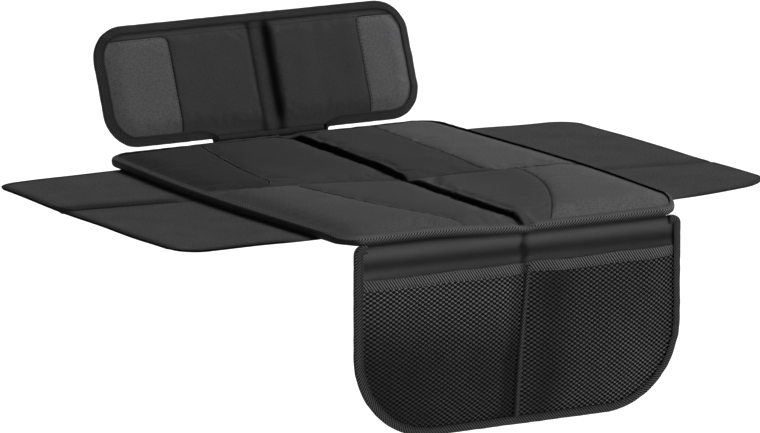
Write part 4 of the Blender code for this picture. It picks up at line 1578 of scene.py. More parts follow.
@dataclass
class BackPad:
    """The small upright pad: two quilted cells beside a sunk middle strip, end patches, tape and lining."""

    wardrobe: Wardrobe
    half_width: float = 0.213
    half_height: float = 0.0715
    radius: float = 0.040
    lip: float = 0.0098
    lean: float = math.radians(21)
    offset: float = 0.0035
    foot_y: float = 0.285
    foot_z: float = 0.017
    cad_depth: float = 0.0078
    edge_top: float = 0.0076
    edge_fall: float = 0.0022
    crown: float = 0.0124
    floor: float = 0.0046
    shoulder_width: float = 0.017
    channel_x: float = 0.0075
    channel_half: float = 0.0085
    left_shoulder: float = 0.013
    right_shoulder: float = 0.011
    patch_x: dict[Side, float] = field(default_factory=lambda: {Side.LEFT: -0.1165, Side.RIGHT: 0.1425})
    patch_top: float = 0.0545
    patch_corner: float = 0.009
    dash_in: float = 0.0022
    inset: float = 0.0011
    cloth: float = 0.0010
    neck_half: float = 0.075
    neck_x: float = 0.005
    neck_notch: float = 0.024
    # Painted shade: the main cloth and the left patch are painted darker than the right patch.
    main_painted_shade: float = 0.255
    patch_painted_shade: dict[Side, float] = field(default_factory=lambda: {Side.LEFT: 0.11, Side.RIGHT: 0.0})
    slack: ReliefMap | None = None

    @property
    def place(self) -> Place:
        """The pad's own frame: its back face's centre, across, up the lean and out of its front.

        Returns:
            The frame.
        """
        up = (0.0, math.sin(self.lean), math.cos(self.lean))
        front = (0.0, -math.cos(self.lean), math.sin(self.lean))
        origin = (
            self.offset,
            self.foot_y - front[1] * self.cad_depth + up[1] * self.half_height,
            self.foot_z - front[2] * self.cad_depth + up[2] * self.half_height,
        )
        return Place(origin, (1.0, 0.0, 0.0), up, front)

    def plump(self, x: Array, y: Array) -> Array:
        """Height of the cover: two cells that rise from the tape and from the sunk middle strip.

        Args:
            x: Widths.
            y: Heights on the pad.

        Returns:
            Heights over the pad's back face.
        """
        softer = rounded_inset(x, y, (self.half_width, self.half_height), self.radius + 0.006)
        from_edge = shoulder(softer - self.lip, self.shoulder_width)
        from_channel = x - self.channel_x
        left = shoulder(-from_channel - self.channel_half, self.left_shoulder)
        right = shoulder(from_channel - self.channel_half, self.right_shoulder)
        lift = np.where(from_channel > 0, right, left)
        cell = self.floor + (self.crown - self.floor) * lift
        middle = bell(from_channel, self.channel_half * 0.9) * 0.0008
        edge = self.edge_top - self.edge_fall * (1.0 - unit(self.inside(x, y) / self.lip))
        return edge + (cell + middle - edge) * from_edge

    def inside(self, x: Array, y: Array) -> Array:
        """How far each point lies inside the pad's edge."""
        return rounded_inset(x, y, (self.half_width, self.half_height), self.radius)

    def held(self, x: Array, y: Array) -> Array:
        """Where the cover is sewn down: at the tape and along both sides of the middle strip.

        Args:
            x: Widths.
            y: Heights on the pad.

        Returns:
            From 0, free, to 1, held.
        """
        at_edge = 1.0 - ease(self.inside(x, y) - self.lip, 0.005)
        at_channel = bell(np.abs(x - self.channel_x) - self.channel_half, 0.004)
        at_seam = 0.5 * bell(self.patch_distance(x, y), 0.004)
        return np.maximum.reduce([at_edge, at_channel, at_seam])

    def patch_distance(self, x: Array, y: Array) -> Array:
        """Distance to the nearer end patch's seam: its inner side or its top, with a round corner.

        Args:
            x: Widths.
            y: Heights on the pad.

        Returns:
            Metres to the nearer seam.
        """
        nearest = np.full(np.broadcast(x, y).shape, 1.0)
        for side, start in self.patch_x.items():
            over_x = side.value * (start - x) + self.patch_corner
            over_y = y - self.patch_top + self.patch_corner
            outside = np.hypot(np.maximum(over_x, 0.0), np.maximum(over_y, 0.0))
            signed = outside + np.minimum(np.maximum(over_x, over_y), 0.0) - self.patch_corner
            nearest = np.minimum(nearest, np.abs(signed))
        return nearest

    def cover_z(self, x: Array, y: Array) -> Array:
        """Height of the finished cover: the settled height, less the patch seams' grooves.

        Args:
            x: Widths.
            y: Heights on the pad.

        Returns:
            Heights over the pad's back face.
        """
        clear = ease(self.inside(x, y) - self.lip, 0.006)
        groove = 0.0006 * bell(self.patch_distance(x, y), 0.0016)
        uneven = 0.0003 * Unevenness(11, 0.03, 0.09).at(x, y)
        rise = self.slack.at(x, y) if self.slack else 0.0
        return self.plump(x, y) + clear * (rise + uneven - groove)

    def fold_shade(self, x: Array, y: Array) -> Array:
        """Painted shade: dark along both sides of the middle strip, most on its right, and along the patches'
        seams.

        Args:
            x: Widths.
            y: Heights on the pad.

        Returns:
            From 0, open, to 1, black.
        """
        from_channel = x - self.channel_x
        fade = 0.85 + 0.15 * ease(self.inside(x, y) - self.lip, 0.010)
        right = bell(from_channel - self.channel_half - 0.0035, 0.0062) * 0.72
        left = bell(from_channel + self.channel_half + 0.0030, 0.0050) * 0.62
        seam = 0.45 * bell(self.patch_distance(x, y), 0.0008)
        return unit((right + left) * fade + seam)

    def outer_x(self, y: Array) -> Array:
        """Half width of the cover at each height, drawn in by the rounded corners."""
        size = (self.half_width - self.inset, self.half_height - self.inset)
        return rounded_side(y, size, self.radius - self.inset)

    def grid(self, x: Array, y: Array, painted_shade: float = 0.0) -> Sheetlet:
        """A grid of the cover over the given places, darkened by painted shade."""
        shade = unit(self.fold_shade(x, y) + painted_shade)
        return Sheetlet(self.place.points(x, y, self.cover_z(x, y)), joined(x, y), shade)

    def patch_start(self, side: Side, y: Array) -> Array:
        """Where an end patch begins at each height: its side, turned away by its round corner."""
        over = np.clip(y - (self.patch_top - self.patch_corner), 0.0, self.patch_corner)
        return self.patch_x[side] + side.value * round_off(over, self.patch_corner)

    def build(self) -> None:
        """Builds and dresses every piece of the back pad."""
        wardrobe = self.wardrobe
        settle = CoverSlack(spacing=0.004, cap=0.0007)
        self.slack = settle.run("back_settling", (self.half_width, self.half_height), self.plump, self.held)
        high = self.half_height - self.inset
        turn = self.patch_top - self.patch_corner
        rows = np.concatenate(
            (np.linspace(-high, turn, 50), turn + self.patch_corner * np.linspace(0.0, 1.0, 12)[1:])
        )
        inner = mirrored(graded(60, 1.3))
        across, y = np.meshgrid(inner, rows)
        left, right = self.patch_start(Side.LEFT, y), self.patch_start(Side.RIGHT, y)
        middle = self.grid(between(across, self.channel_x, left, right), y, self.main_painted_shade)
        over, top_y = np.meshgrid(inner, np.linspace(self.patch_top, high, 9))
        rim = self.outer_x(top_y)
        top = self.grid(between(over, self.channel_x, -rim, rim), top_y, self.main_painted_shade)
        cover = cloth_from("back_main_cover", [middle, top], self.cloth)
        wardrobe.dress(cover, Finish.MAIN, "main_cloth", "back_main_panel")
        for side in Side:
            share, y = np.meshgrid(graded(36, 1.2), rows)
            start = self.patch_start(side, y) + side.value * 0.00015
            x = start + (side.value * self.outer_x(y) - start) * share
            patch = self.grid(x, y, self.patch_painted_shade[side])
            patch.turned = side is Side.LEFT
            made = cloth_from(f"back_patch_{side.name.lower()}", [patch], self.cloth)
            wardrobe.dress(made, Finish.ACCENT, "accent_cloth", f"back_accent_{side.name.lower()}")
            self.build_foam(side)
        self.build_lining()
        self.build_tape()
        self.build_stitches()
        self.build_neck()

    def build_foam(self, side: Side) -> None:
        """A foam insert in one cell, between the lining and the cover.

        Args:
            side: Which cell.
        """
        across, down = np.meshgrid(np.linspace(0.0, 1.0, 26), np.linspace(-1.0, 1.0, 16))
        y = down * (self.half_height - 0.017)
        near = self.channel_x + side.value * (self.channel_half + 0.001)
        far = side.value * (self.outer_x(y) - 0.016)
        x = near + (far - near) * across
        top = np.maximum(self.cover_z(x, y) - self.cloth - 0.0007, 0.0030)
        upper = self.place.points(x, y, top)
        lower = self.place.points(x, y, np.full_like(top, 0.0026))
        name = f"back_foam_block_{side.name.lower()}"
        made = foam_between(name, upper, lower, joined(x, y))
        self.wardrobe.dress(made, Finish.FOAM, "foam", f"back_foam_{side.name.lower()}")

    def build_lining(self) -> None:
        """The rear face, drawn in a little where the middle strip's seams come through."""
        across, down = np.meshgrid(np.linspace(-1.0, 1.0, 110), np.linspace(-1.0, 1.0, 40))
        y = down * (self.half_height - 0.0018)
        x = across * (self.outer_x(y) - 0.0007)
        seam = bell(np.abs(x - self.channel_x) - self.channel_half, 0.0020)
        uneven = Unevenness(17, 0.03, 0.10).at(x, y)
        slack = 0.0004 * ease(self.inside(x, y) - self.lip, 0.01) * (1.0 + 0.5 * uneven)
        z = 0.0011 + 0.0006 * seam - slack * (1.0 - seam)
        # Painted shade along the middle strip's seams, where the lining is drawn in.
        grid = Sheetlet(self.place.points(x, y, z), joined(x, y), 0.5 * seam, turned=True)
        made = cloth_from("back_lining_cloth", [grid], self.cloth)
        self.wardrobe.dress(made, Finish.LINING, "lining", "back_lining")

    def outline(self) -> Track:
        """The pad's edge from the neck's right side, round the pad, to the neck's left side.

        Returns:
            The open path.
        """
        x, y, r = self.half_width, self.half_height, self.radius
        right = self.neck_x + self.neck_half
        left = self.neck_x - self.neck_half
        corners = [
            (right, -y - 0.007, 0.0),
            (right + 0.001, -y, 0.005),
            (x, -y, r),
            (x, y, r),
            (-x, y, r),
            (-x, -y, r),
            (left - 0.001, -y, 0.005),
            (left, -y - 0.007, 0.0),
        ]
        return track_through(corners, False, TRACK_STEP)

    def build_tape(self) -> None:
        """The wide edge tape, which turns down into the neck at both of its ends."""
        track = self.outline()
        from_end = np.minimum(track.run, track.length - track.run)
        near_neck = bell(from_end, 0.016)
        top = self.edge_top + 0.0011 - 0.0020 * near_neck
        tape = FoldedTape(lip=self.lip, bottom=0.0, bulge=0.0010, fall=self.edge_fall, pucker=0.0003)
        narrowing = 0.25 + 0.75 * ease(from_end, 0.030)
        # Painted shade on the tape: darker along the pad's top and where it turns down into the neck.
        station_shade = 0.60 * ease(track.points[:, 1] - 0.03, 0.04) + 0.5 * near_neck
        made = tape.build("back_edge_tape", track, self.place, top, False, None, station_shade, narrowing)
        self.wardrobe.dress(made, Finish.BACK_TAPE, "twill_tape", "back_binding")
        row = tape.stitches("back_tape_stitches", track, self.place, top, narrowing, 0.0018, 0.02)
        self.wardrobe.dress(row, Finish.THREAD, "twill_tape")

    def build_stitches(self) -> None:
        """Pale dashes just inside each patch's seam, along its side, round its corner and its top."""
        paths = []
        for side, start in self.patch_x.items():
            inner = start + side.value * self.dash_in
            top = self.patch_top - self.dash_in
            end = side.value * (self.half_width - 0.034)
            foot = -self.half_height + 0.014
            corners = [(inner, foot, 0.0), (inner, top, self.patch_corner - 0.002), (end, top, 0.0)]
            track = track_through(corners, False, 0.002)
            paths.append(self.grid(track.points[:, 0], track.points[:, 1]).points)
        dashes = Seam(pitch=0.0042, length=0.0028, radius=0.00042)
        row = dashes.build("back_patch_stitches", paths, self.place.out)
        self.wardrobe.dress(row, Finish.THREAD, "accent_cloth")

    def build_neck(self) -> None:
        """The cloth that joins both pads: from under the seat's rear tape, over the gap, up to the cover.

        Its section is a smooth curve through seven places, and its sides stand out by a shallow bow.
        """
        rise, height = np.array(((-0.0755, 0.0042), (-0.0680, 0.0052), (-0.0580, 0.0060))).T
        upper = self.place.points(np.zeros(3), rise, height)
        lower = np.array(((0.2690, 0.0131), (0.2750, 0.0128), (0.2810, 0.0114), (0.2845, 0.0112)))
        stops = np.concatenate((lower, upper[:, 1:]))
        reached = run_along(stops)
        run = np.linspace(0.0, reached[-1], 40)
        smooth = read_path(run, reached, stops)
        for _ in range(6):
            smooth[1:-1] = (smooth[:-2] + 2 * smooth[1:-1] + smooth[2:]) / 4
        across, along = np.meshgrid(np.linspace(-1.0, 1.0, 90), np.arange(len(run)))
        share = run[along] / reached[-1]
        loose = np.sin(math.pi * share)
        x = self.neck_x + self.neck_half * (1.0 + 0.03 * loose) * across
        droop = -0.0012 * bell(np.abs(x - self.channel_x) - self.channel_half, 0.004)
        fold = (droop + 0.0004 * Unevenness(23, 0.012, 0.05).at(x, run[along])) * loose
        lowered = (1.0 - ease(1.0 - np.abs(across), 0.05)) * 0.0012
        sunk = 0.0034 * unit(1.0 - (np.abs(x - self.neck_notch) / 0.016) ** 2)
        y = smooth[along, 0] - fold * 0.6 + lowered
        z = smooth[along, 1] + fold - lowered - sunk * (1.0 - ease(share, 0.7))
        # Painted shade: a dark line where the neck leaves the seat's rear edge and darker along its sides, on
        # top of the main cloth's painted shade.
        shade = self.main_painted_shade + 0.7 * bell(run[along] - reached[3], 0.0035)
        shade = unit(shade + 0.3 * bell(np.abs(across) - 1.0, 0.03))
        grid = Sheetlet(joined(x, y, z), joined(x, run[along]), shade)
        made = cloth_from("neck_cloth", [grid], self.cloth)
        self.wardrobe.dress(made, Finish.MAIN, "main_cloth", "back_neck")


# Wing sheet


@dataclass
class WingSheet:
    """The sheet under the seat pad, whose ends lie out to both sides as wings."""

    wardrobe: Wardrobe
    tip: float = 0.397
    root: float = 0.225
    front_y: float = -0.223
    rear_y: float = 0.230
    radii: tuple[float, float, float, float] = (0.034, 0.026, 0.046, 0.034)
    flare: float = 0.018
    belly: float = 0.006
    pad_bow: float = 0.011
    crease_y: float = -0.013
    crease_slant: float = -0.165
    thickness: float = 0.0018
    top: float = 0.0020

    def edges(self, x: Array) -> tuple[Array, Array]:
        """Front and rear edge at each width: straight runs, flared at the right root, round at the tips.

        The radii stand for the front left, rear left, front right and rear right corners.

        Args:
            x: Widths.

        Returns:
            Depths of the front edge and of the rear edge.
        """
        flare = self.flare * np.interp(x, (-self.tip, self.root, self.tip), (0.0, 1.0, 0.0))
        rounds = []
        for left, right in (self.radii[::2], self.radii[1::2]):
            radius = np.where(x < 0, left, right)
            rounds.append(round_off(np.clip(np.abs(x) - (self.tip - radius), 0.0, radius), radius))
        return self.front_y - flare + rounds[0], self.rear_y + flare - rounds[1]

    def build(self) -> None:
        """Builds the sheet: rows between the front and rear edges, creased and hemmed, with painted shade at
        the crease and a painted shadow beside the pad.
        """
        half = np.concatenate((np.linspace(0.0, 0.9, 90), 1.0 - 0.1 * graded(22, 1.8)[::-1][1:]))
        across, down = np.meshgrid(mirrored(half), np.linspace(0.0, 1.0, 130))
        x = across * self.tip
        front, rear = self.edges(x)
        y = front + (rear - front) * down
        left = x < 0
        bow = self.belly * (1.0 - ((y - self.crease_y) / 0.24) ** 2)
        reach = ease(np.abs(x) - self.root, self.tip - self.root)
        x = x + reach * np.where(left, -bow, bow - self.belly)
        from_crease = y - self.crease_y - self.crease_slant * x
        crease = bell(from_crease, 0.0036)
        outside = ease(np.abs(x) - self.root - 0.004, 0.05)
        lift = 0.0004 * Unevenness(31, 0.09, 0.26).at(x, y) * outside
        curl = 0.0030 * ease(x - 0.26, 0.14) * ease(-y - 0.02, 0.20)
        edge = np.minimum.reduce([y - front, rear - y, self.tip - np.abs(across) * self.tip])
        hem = bell(edge - 0.0065, 0.0012)
        rolled = 0.0006 * ease(edge, 0.0015) - 0.0006
        z = self.top + lift + curl - 0.0012 * crease * outside + rolled - 0.0004 * hem
        # Painted shade: a dark crease line with a soft painted shadow behind it, fainter on the right wing, a
        # dark line in the hem's stitch groove, the left wing a little darker overall, and a painted shadow
        # beside the pad's edge, strong on the left. The hem band and the very rim are darker as well, most at
        # the left wing's edges.
        band = 0.16 * (1.0 - ease(edge - 0.0055, 0.002)) + 0.42 * bell(edge, 0.010) * left
        folded = (0.50 * crease + 0.62 * bell(from_crease - 0.010, 0.016)) * np.where(left, 1.0, 0.32)
        shade = folded + 0.09 * left + 0.40 * hem + band + 0.5 * bell(edge, 0.0018)
        from_peak = np.clip((y - np.where(left, 0.024, -0.05)) / 0.28, -1.0, 1.0)
        pad_edge = self.root + self.pad_bow * np.cos(from_peak * math.pi / 2) ** 1.4
        pad_shadow = np.where(left, 1.56, 0.09) * bell(np.abs(x) - pad_edge - 0.002, 0.008)
        shade = unit(unit(shade) * outside + pad_shadow)
        grid = Sheetlet(joined(x, y, z), joined(x, y), shade)
        made = cloth_from("wing_cloth", [grid], self.thickness)
        self.wardrobe.dress(made, Finish.WING, "wing_fabric", "wing_sheet")


# Front flap


@dataclass
class FrontFlap:
    """The flap that hangs over the seat's front edge, with two net pockets on it."""

    wardrobe: Wardrobe
    half_width: float = 0.215
    offset_x: float = 0.007
    plane_y: float = -0.277
    drop: float = 0.228
    radius: float = 0.100
    lip: float = 0.0084
    panel_front: float = 0.0023
    net_front: float = 0.0045
    tape_top: float = 0.0060
    net_top: float = 0.0412
    hem_width: float = 0.012
    bulge: float = 0.0085
    net_shoulder: float = 0.040
    seam_x: float = 0.007
    cloth: float = 0.0012
    cell_x: float = 0.0077
    cell_y: float = 0.00265
    hole_x: float = 0.0023
    hole_y: float = 0.00165
    yarn: float = 0.00045
    net_share: float = 0.62
    tape: float = 0.0007
    seam_half: float = 0.0036
    hem_half: float = 0.0012
    stitch_in: float = 0.0022
    bend: float = 0.0035
    tuck: float = 0.015
    over: float = 0.0020

    @property
    def place(self) -> Place:
        """The flap's own frame: across, up the flap and out of its front."""
        return Place((self.offset_x, self.plane_y, 0.0), (1.0, 0.0, 0.0), (0.0, 0.0, 1.0), (0.0, -1.0, 0.0))

    def seam_at(self, y: Array) -> Array:
        """Where the pockets' middle seam runs: a parabola in the share of the way down from the hem."""
        share = np.clip((-y - 0.053) / 0.172, -0.3, 1.0)
        return self.seam_x + 0.0034 - 0.0195 * share + 0.0041 * share**2

    def inside(self, x: Array, y: Array, more: float = 0.0) -> Array:
        """How far each point lies inside the flap's sides and rounded bottom."""
        return rounded_inset(x, np.minimum(y, 0.0), (self.half_width, self.drop), self.radius + more)

    def outer_x(self, y: Array, inset: float) -> Array:
        """Half width of the flap at each height, drawn in by its rounded lower corners."""
        size = (self.half_width - inset, self.drop - inset)
        return rounded_side(np.minimum(y, 0.0), size, self.radius - inset)

    def net_depth(self, x: Array, y: Array) -> Array:
        """How far the net stands out: slack in each pocket, drawn in at the tape and the middle seam.

        Two slow slanting waves give each pocket its own hang.

        Args:
            x: Widths.
            y: Heights on the flap.

        Returns:
            Metres in front of the flap.
        """
        from_tape = shoulder(self.inside(x, y, 0.03) - self.lip - 0.001, self.net_shoulder)
        from_seam = shoulder(np.abs(x - self.seam_at(y)) - 0.002, self.net_shoulder)
        down = unit((-y - self.net_top) / (self.drop - self.net_top))
        slack = 0.85 + 0.15 * np.sin(math.pi * down)
        slant = np.sin(TURN * (x * 0.9 - y * 0.7) / 0.16 + 0.5)
        second = np.sin(TURN * (x * 0.5 + y) / 0.11 + 1.3)
        hang = 0.0016 * slant + 0.0010 * second
        return (self.bulge * slack + hang * ease(down, 0.25)) * from_tape * from_seam

    def hang_shade(self, x: Array, y: Array) -> Array:
        """Painted shade on each pocket: the left one darker towards its lower left, the right one with a
        painted dark fold by the middle and paler at its lower right.

        Args:
            x: Widths.
            y: Heights on the flap.

        Returns:
            From 0, lit, to 1, black.
        """
        down = ease(-y - 0.062 - 0.10 * (x + 0.10), 0.095)
        left = 0.04 + 0.92 * down * (1.0 - 0.22 * ease(x + 0.19, 0.12))
        fold = bell(x - 0.046 - 0.13 * (y + 0.06), 0.026)
        right = 0.40 + 0.42 * fold - 0.20 * ease(x - 0.08, 0.08) * ease(-y - 0.10, 0.08)
        streaks = 0.05 * Unevenness(53, 0.03, 0.12).at(x, y)
        from_seam = x - self.seam_at(y)
        pocket = np.where(from_seam < 0.0, left, right)
        return unit(pocket + streaks + 0.45 * bell(from_seam + 0.012, 0.012))

    def lowered(self, x: Array, y: Array) -> Array:
        """Height on the flap after its upper edge has followed the pad's drop, fading out at the hem."""
        return y - front_drop(x + self.offset_x) * ease(y + 0.045, 0.045)

    def panel_z(self, x: Array, y: Array) -> Array:
        """The flap cloth's front face: soft waves above the pockets and a fold down the middle.

        Args:
            x: Widths.
            y: Heights on the flap.

        Returns:
            Metres in front of the flap's frame.
        """
        down = unit(-y / self.net_top)
        side = shoulder(self.inside(x, y) - self.lip, 0.02)
        wave = 0.0016 * np.sin(3 * math.pi * down) * side * (1.0 - 0.25 * np.sin(x * 21.0))
        folded = np.sin(math.pi * unit(-y / (self.net_top * 1.6)))
        return self.panel_front + wave - 0.0022 * bell(x - self.seam_x, 0.0065) * folded

    def build_panel(self) -> None:
        """The flap cloth: tucked flat under the seat, turned over a quarter circle and hung, with painted
        shade.
        """
        bend, tuck, top = self.bend, self.tuck, self.over
        turned = bend * math.pi / 2
        hang = np.linspace(0.0, self.drop - 0.0011 + top - bend, 150)
        flat_run, turn_run = np.linspace(0.0, tuck, 5)[:-1], np.linspace(0.0, turned, 8)[:-1]
        run = np.concatenate((flat_run, tuck + turn_run, tuck + turned + hang))
        across, along = np.meshgrid(mirrored(graded(70, 0.85)), run)
        angle = np.clip((along - tuck) / bend, 0.0, math.pi / 2)
        y = top - bend * (1 - np.cos(angle)) - np.maximum(along - tuck - turned, 0.0)
        flat_out = self.panel_front - bend * (1 - np.sin(angle)) - np.maximum(tuck - along, 0.0)
        narrow = 0.0185 * (1.0 - ease(along - tuck - turned * 0.5, 0.004))
        x = across * (self.outer_x(y, 0.0011) - narrow)
        z = np.where(y < top - bend, self.panel_z(x, y), flat_out)
        y = y + (self.lowered(x, y) - y) * near_front(self.plane_y - flat_out)
        # Painted shade: a dark fold down the middle above the nets, the cloth behind the nets painted nearly
        # black, painted dark and light swells below the tape, and a painted shadow under the pad's front
        # edge.
        middle = 0.80 * bell(x - self.seam_x, 0.0042) * ease(-y, 0.01) * (1.0 - ease(-y - self.net_top, 0.03))
        shade_behind_nets = 0.95 * ease(-y - self.net_top - self.hem_width * 0.6, 0.008)
        from_crest = y + 0.0155 + 0.0157 * x
        swell_shade = 0.42 * (1.0 - np.cos(TURN * from_crest / 0.028))
        swell_shade = swell_shade * (1.0 - 0.6 * ease(-y - 0.034, 0.012))
        shadow_under_pad = 0.30 * bell(y + front_drop(x + self.offset_x) + 0.0015, 0.0025) * (y < 0.0)
        shade = unit(middle + shade_behind_nets + swell_shade * (y > -0.055) + shadow_under_pad)
        grid = Sheetlet(self.place.points(x, y, z), joined(x, along), shade, turned=True)
        made = cloth_from("flap_cloth", [grid], self.cloth)
        self.wardrobe.dress(made, Finish.FLAP, "flap_fabric", "pocket_panel")

    def net_cells(self, side: Side) -> Array:
        """Centres of one pocket's holes: a lattice of rows that shift by half a cell.

        Args:
            side: Which pocket.

        Returns:
            One row of two for each hole.
        """
        columns = int(2 * self.half_width / self.cell_x) + 2
        rows = int(self.drop / self.cell_y) + 2
        row, column = np.meshgrid(np.arange(rows), np.arange(-columns, columns + 1), indexing="ij")
        x = self.seam_x + (column + 0.5 * (row % 2) + 0.5) * self.cell_x
        y = -self.net_top - 0.002 - row * self.cell_y
        keep = (self.inside(x, y) > 0.0045) & (side.value * (x - self.seam_at(y)) > 0.0)
        return np.stack((x[keep], y[keep]), axis=1)

    def build_net(self, side: Side) -> Piece:
        """One pocket's net: a lozenge of yarn round each hole, thick at the crossings.

        A cell has rings of twelve points from the lozenge's rim, through the yarn's crest, to the hole's
        ellipse, in front and behind. Rims of neighbouring cells share their points, and a rim with no
        neighbour is closed by a wall.

        Args:
            side: Which pocket.

        Returns:
            The net.
        """
        centres = self.net_cells(side)
        turn = np.arange(12) * 2 * math.pi / 12
        reach = 1.0 / (np.abs(np.cos(turn)) + np.abs(np.sin(turn)))
        circle = np.stack((np.cos(turn), np.sin(turn)), axis=1)
        rim = circle * np.array((self.cell_x / 2, self.cell_y)) * reach[:, None]
        hole = circle * np.array((self.hole_x, self.hole_y))
        crest = rim * 0.45 + hole * 0.55
        at_crossing = np.abs(np.cos(2 * turn)) ** 1.5
        even = np.ones(12)
        levels = self.yarn * np.concatenate(
            (0.75 + 0.9 * at_crossing, 0.65 + 0.5 * at_crossing, 0.0 * even, -0.7 * even, -0.8 * even)
        )
        # Painted shade: the yarn is painted darker away from its crossings and black round the holes, and the
        # pocket's painted hang shade is added.
        hole_shade = np.concatenate((0.95 * (1 - at_crossing), 0.42 + 0.58 * (1 - at_crossing), even, even, even))
        flat = np.concatenate([centres[:, None, :] + ring for ring in (rim, crest, hole, crest, rim)], axis=1)
        x, y = flat[..., 0], flat[..., 1]
        shade = 1.0 - (1.0 - hole_shade) * (1.0 - self.hang_shade(x, y))
        points = self.place.points(x, y, self.net_front - self.yarn + self.net_depth(x, y) + levels)
        faces = tube_faces(5, 12, len(centres))[:, ::-1]
        name = f"net_pocket_{side.name.lower()}"
        made = mesh_object(name, points.reshape(-1, 3), faces, flat.reshape(-1, 2), shade.ravel())
        with reshaped(made) as shape:
            bmesh.ops.remove_doubles(shape, verts=shape.verts, dist=2e-5)
            bmesh.ops.bridge_loops(shape, edges=[edge for edge in shape.edges if edge.is_boundary])
        return made

    def build_nets(self) -> None:
        """Both nets, each its own piece, and the tape that holds them down in the middle."""
        for side in Side:
            made = self.build_net(side)
            nodes = ("pocket_mesh",) if side is Side.LEFT else ()
            self.wardrobe.dress(made, Finish.NET, "net", *nodes)
        down = np.linspace(-self.net_top - 0.004, -self.drop + self.lip, 90)
        across, y = np.meshgrid(np.linspace(-1.0, 1.0, 13), down)
        x = self.seam_at(y) + across * self.seam_half
        z = self.net_front + 0.0011 + 0.0012 * np.cos(across * math.pi / 2)
        # Painted shade: the seam tape's left half is painted darker than its right.
        shade = 0.30 + 0.60 * ease(-across, 0.6)
        grid = Sheetlet(self.place.points(x, y, z), joined(y, x), shade, turned=True)
        made = cloth_from("pocket_seam_tape", [grid], self.tape)
        self.wardrobe.dress(made, Finish.SOFT_TAPE, "twill_tape")

    def build_hem_tape(self) -> None:
        """The tape folded over both nets' upper edge: a flat U in section, drawn in at the middle."""
        end = self.half_width - self.lip - 0.0003
        x = np.linspace(-end, end, 220)
        depth = self.net_depth(x, np.full_like(x, -self.net_top - 0.004))
        leg, half = np.linspace(-self.hem_width, -0.0008, 8), np.full(8, self.hem_half)
        section_y = np.concatenate((leg, (0.0, 0.0), leg[::-1]))
        section_z = np.concatenate((half, (0.0006, -0.0006), -half))
        width = run_along(np.stack((section_y, section_z), axis=1))[:, None]
        sag = 0.0006 * Unevenness(41, 0.04, 0.12).at(x, x * 0.0) - 0.0016 * bell(x - self.seam_x, 0.012)
        curl = 0.0005 * Unevenness(43, 0.03, 0.09).at(x, x * 0.0)
        y = sag - self.net_top + section_y[:, None]
        z = self.net_front - 0.0002 + depth + section_z[:, None]
        z = z + curl * np.abs(section_y[:, None]) / self.hem_width
        across, width = np.broadcast_arrays(x[None, :], width)
        # Painted shade: dark where the tape dips at the middle seam, and a dark line along its stitches.
        shade = 0.85 * bell(across - self.seam_x + 0.002, 0.006) + 0.45 * bell(width - self.stitch_in, 0.0006)
        points, flat = self.place.points(across, y, z), joined(across, width)
        made = cloth_from("hem_tape", [Sheetlet(points, flat, unit(shade))], self.tape)
        self.wardrobe.dress(made, Finish.HEM_TAPE, "twill_tape", "pocket_hem_tape")
        line_y = sag - self.net_top - self.hem_width + self.stitch_in
        line = self.place.points(x, line_y, self.net_front + 0.0011 + depth)
        row = Seam(pitch=0.0052, length=0.0030, radius=0.00030).build("hem_stitches", [line], self.place.out)
        self.wardrobe.dress(row, Finish.THREAD, "twill_tape")

    def build_edge_tape(self) -> None:
        """Tape round the flap's sides and bottom, turned in at both top corners."""
        half, turn_in, top_y = self.half_width, self.half_width - 0.014, -0.0009
        corners = [
            (-turn_in, top_y, 0.0),
            (-half, top_y, 0.010),
            (-half, -self.drop, self.radius),
            (half, -self.drop, self.radius),
            (half, top_y, 0.010),
            (turn_in, top_y, 0.0),
        ]
        straight = track_through(corners, False, TRACK_STEP)
        x, y = straight.points[:, 0], straight.points[:, 1]
        track = Track(np.column_stack((x, self.lowered(x, y))), straight.outward, straight.run)
        top = np.full(len(track.run), self.tape_top)
        tape = FoldedTape(lip=self.lip, bottom=0.0, bulge=0.0008)
        made = tape.build("flap_edge_tape", track, self.place, top, False)
        self.wardrobe.dress(made, Finish.SOFT_TAPE, "twill_tape", "pocket_binding")
        row = tape.stitches("flap_tape_stitches", track, self.place, top)
        self.wardrobe.dress(row, Finish.THREAD, "twill_tape")

    def build(self) -> None:
        """Builds and dresses every piece of the flap."""
        self.build_panel()
        self.build_nets()
        self.build_hem_tape()
        self.build_edge_tape()


# Stage


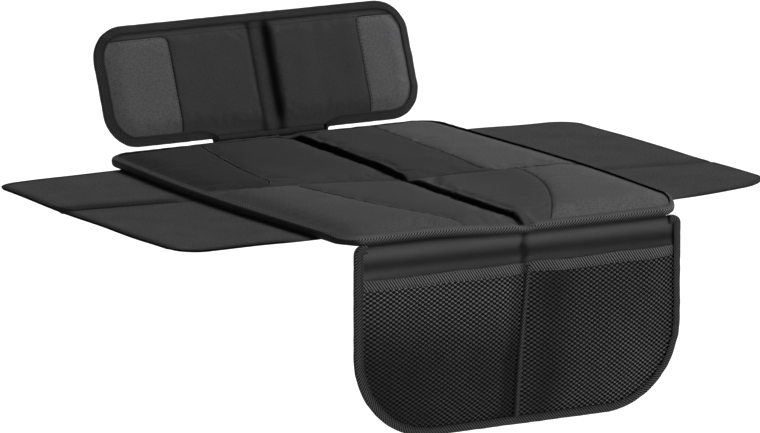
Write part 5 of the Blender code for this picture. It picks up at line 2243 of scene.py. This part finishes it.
@dataclass(frozen=True)
class Studio:
    """A pale floor, a soft key light from the right, a fill from the front, an even sky and the camera."""

    floor_z: float = -0.45
    floor_half: float = 12.0
    sky: float = 0.06
    key: float = 4.05
    key_from: tuple[float, float, float] = (0.70, 0.10, 0.70)
    key_spread: float = math.radians(35)
    fill: float = 2.6
    fill_from: tuple[float, float, float] = (0.15, -0.97, 0.15)
    fill_spread: float = math.radians(40)
    azimuth: float = math.radians(-30.46)
    elevation: float = math.radians(11.52)
    distance: float = 9.31
    lens: float = 379.0
    aim_right: float = -0.0096
    aim_up: float = -0.0362

    def build_floor(self) -> None:
        """A wide floor, white to the camera and pale to everything else."""
        edge = np.linspace(-self.floor_half, self.floor_half, 9)
        x, y = np.meshgrid(edge, edge)
        points = joined(x, y, np.full_like(x, self.floor_z))
        floor = cloth_from("studio_floor", [Sheetlet(points, joined(x, y))], 0.0)
        recipe = Recipe("pale_floor")
        recipe.shader.inputs["Base Color"].default_value = (0.86, 0.86, 0.86, 1.0)
        recipe.shader.inputs["Roughness"].default_value = 0.9
        recipe.shader.inputs["Emission Color"].default_value = (1.0, 1.0, 1.0, 1.0)
        glow = recipe.sum_of("MULTIPLY", recipe.seen(), 0.25)
        recipe.feed(recipe.shader.inputs["Emission Strength"], glow)
        floor.data.materials.append(recipe.made)

    def build_sky(self) -> None:
        """An even grey sky for light, seen as white by the camera."""
        recipe = Recipe("studio_sky", world=True)
        bpy.context.scene.world = recipe.made
        level = recipe.sum_of("MULTIPLY_ADD", recipe.seen(), 1.0 - self.sky, self.sky)
        recipe.feed(recipe.shader.inputs["Strength"], level)
        recipe.shader.inputs["Color"].default_value = (1.0, 1.0, 1.0, 1.0)

    def build_lamp(self, name: str, energy: float, source: tuple[float, float, float], spread: float) -> None:
        """A broad far light.

        Args:
            name: The light's name.
            energy: Its strength.
            source: The direction that it shines from.
            spread: The angle that it fills, which softens its shadows.
        """
        lamp = bpy.data.lights.new(name, "SUN")
        lamp.energy = energy
        lamp.angle = spread
        made = bpy.data.objects.new(name, lamp)
        bpy.context.scene.collection.objects.link(made)
        away = np.array(source) / np.linalg.norm(source)
        made.rotation_euler = (math.acos(away[2]), 0.0, math.atan2(away[1], away[0]) + math.pi / 2)

    def build_camera(self) -> None:
        """A long lens at the photo's angle: it looks along the line set by azimuth and elevation."""
        turn, tilt = self.azimuth, self.elevation
        right = np.array((math.cos(turn), math.sin(turn), 0.0))
        up = np.array((-math.sin(turn) * math.sin(tilt), math.cos(turn) * math.sin(tilt), math.cos(tilt)))
        back = np.array((math.sin(turn) * math.cos(tilt), -math.cos(turn) * math.cos(tilt), math.sin(tilt)))
        target = right * self.aim_right + up * self.aim_up
        data = bpy.data.cameras.new("photo_camera")
        data.lens = self.lens
        data.sensor_width = 36.0
        data.clip_end = 60.0
        camera = bpy.data.objects.new("photo_camera", data)
        camera.location = target + back * self.distance
        camera.rotation_euler = (math.pi / 2 - tilt, 0.0, turn)
        bpy.context.scene.collection.objects.link(camera)
        bpy.context.scene.camera = camera

    def build(self) -> None:
        """Sets the stage and the plain view."""
        self.build_floor()
        self.build_sky()
        self.build_lamp("key", self.key, self.key_from, self.key_spread)
        self.build_lamp("fill", self.fill, self.fill_from, self.fill_spread)
        self.build_camera()
        bpy.context.scene.view_settings.view_transform = "Standard"


def main() -> None:
    """Builds the mat's sub-assemblies in order, then the stage."""
    logging.basicConfig(level=logging.INFO, format="%(name)s %(message)s")
    wardrobe = Wardrobe()
    WingSheet(wardrobe).build()
    SeatPad(wardrobe).build()
    BackPad(wardrobe).build()
    FrontFlap(wardrobe).build()
    Studio().build()
    bpy.context.view_layer.update()


if __name__ == "__main__":
    main()
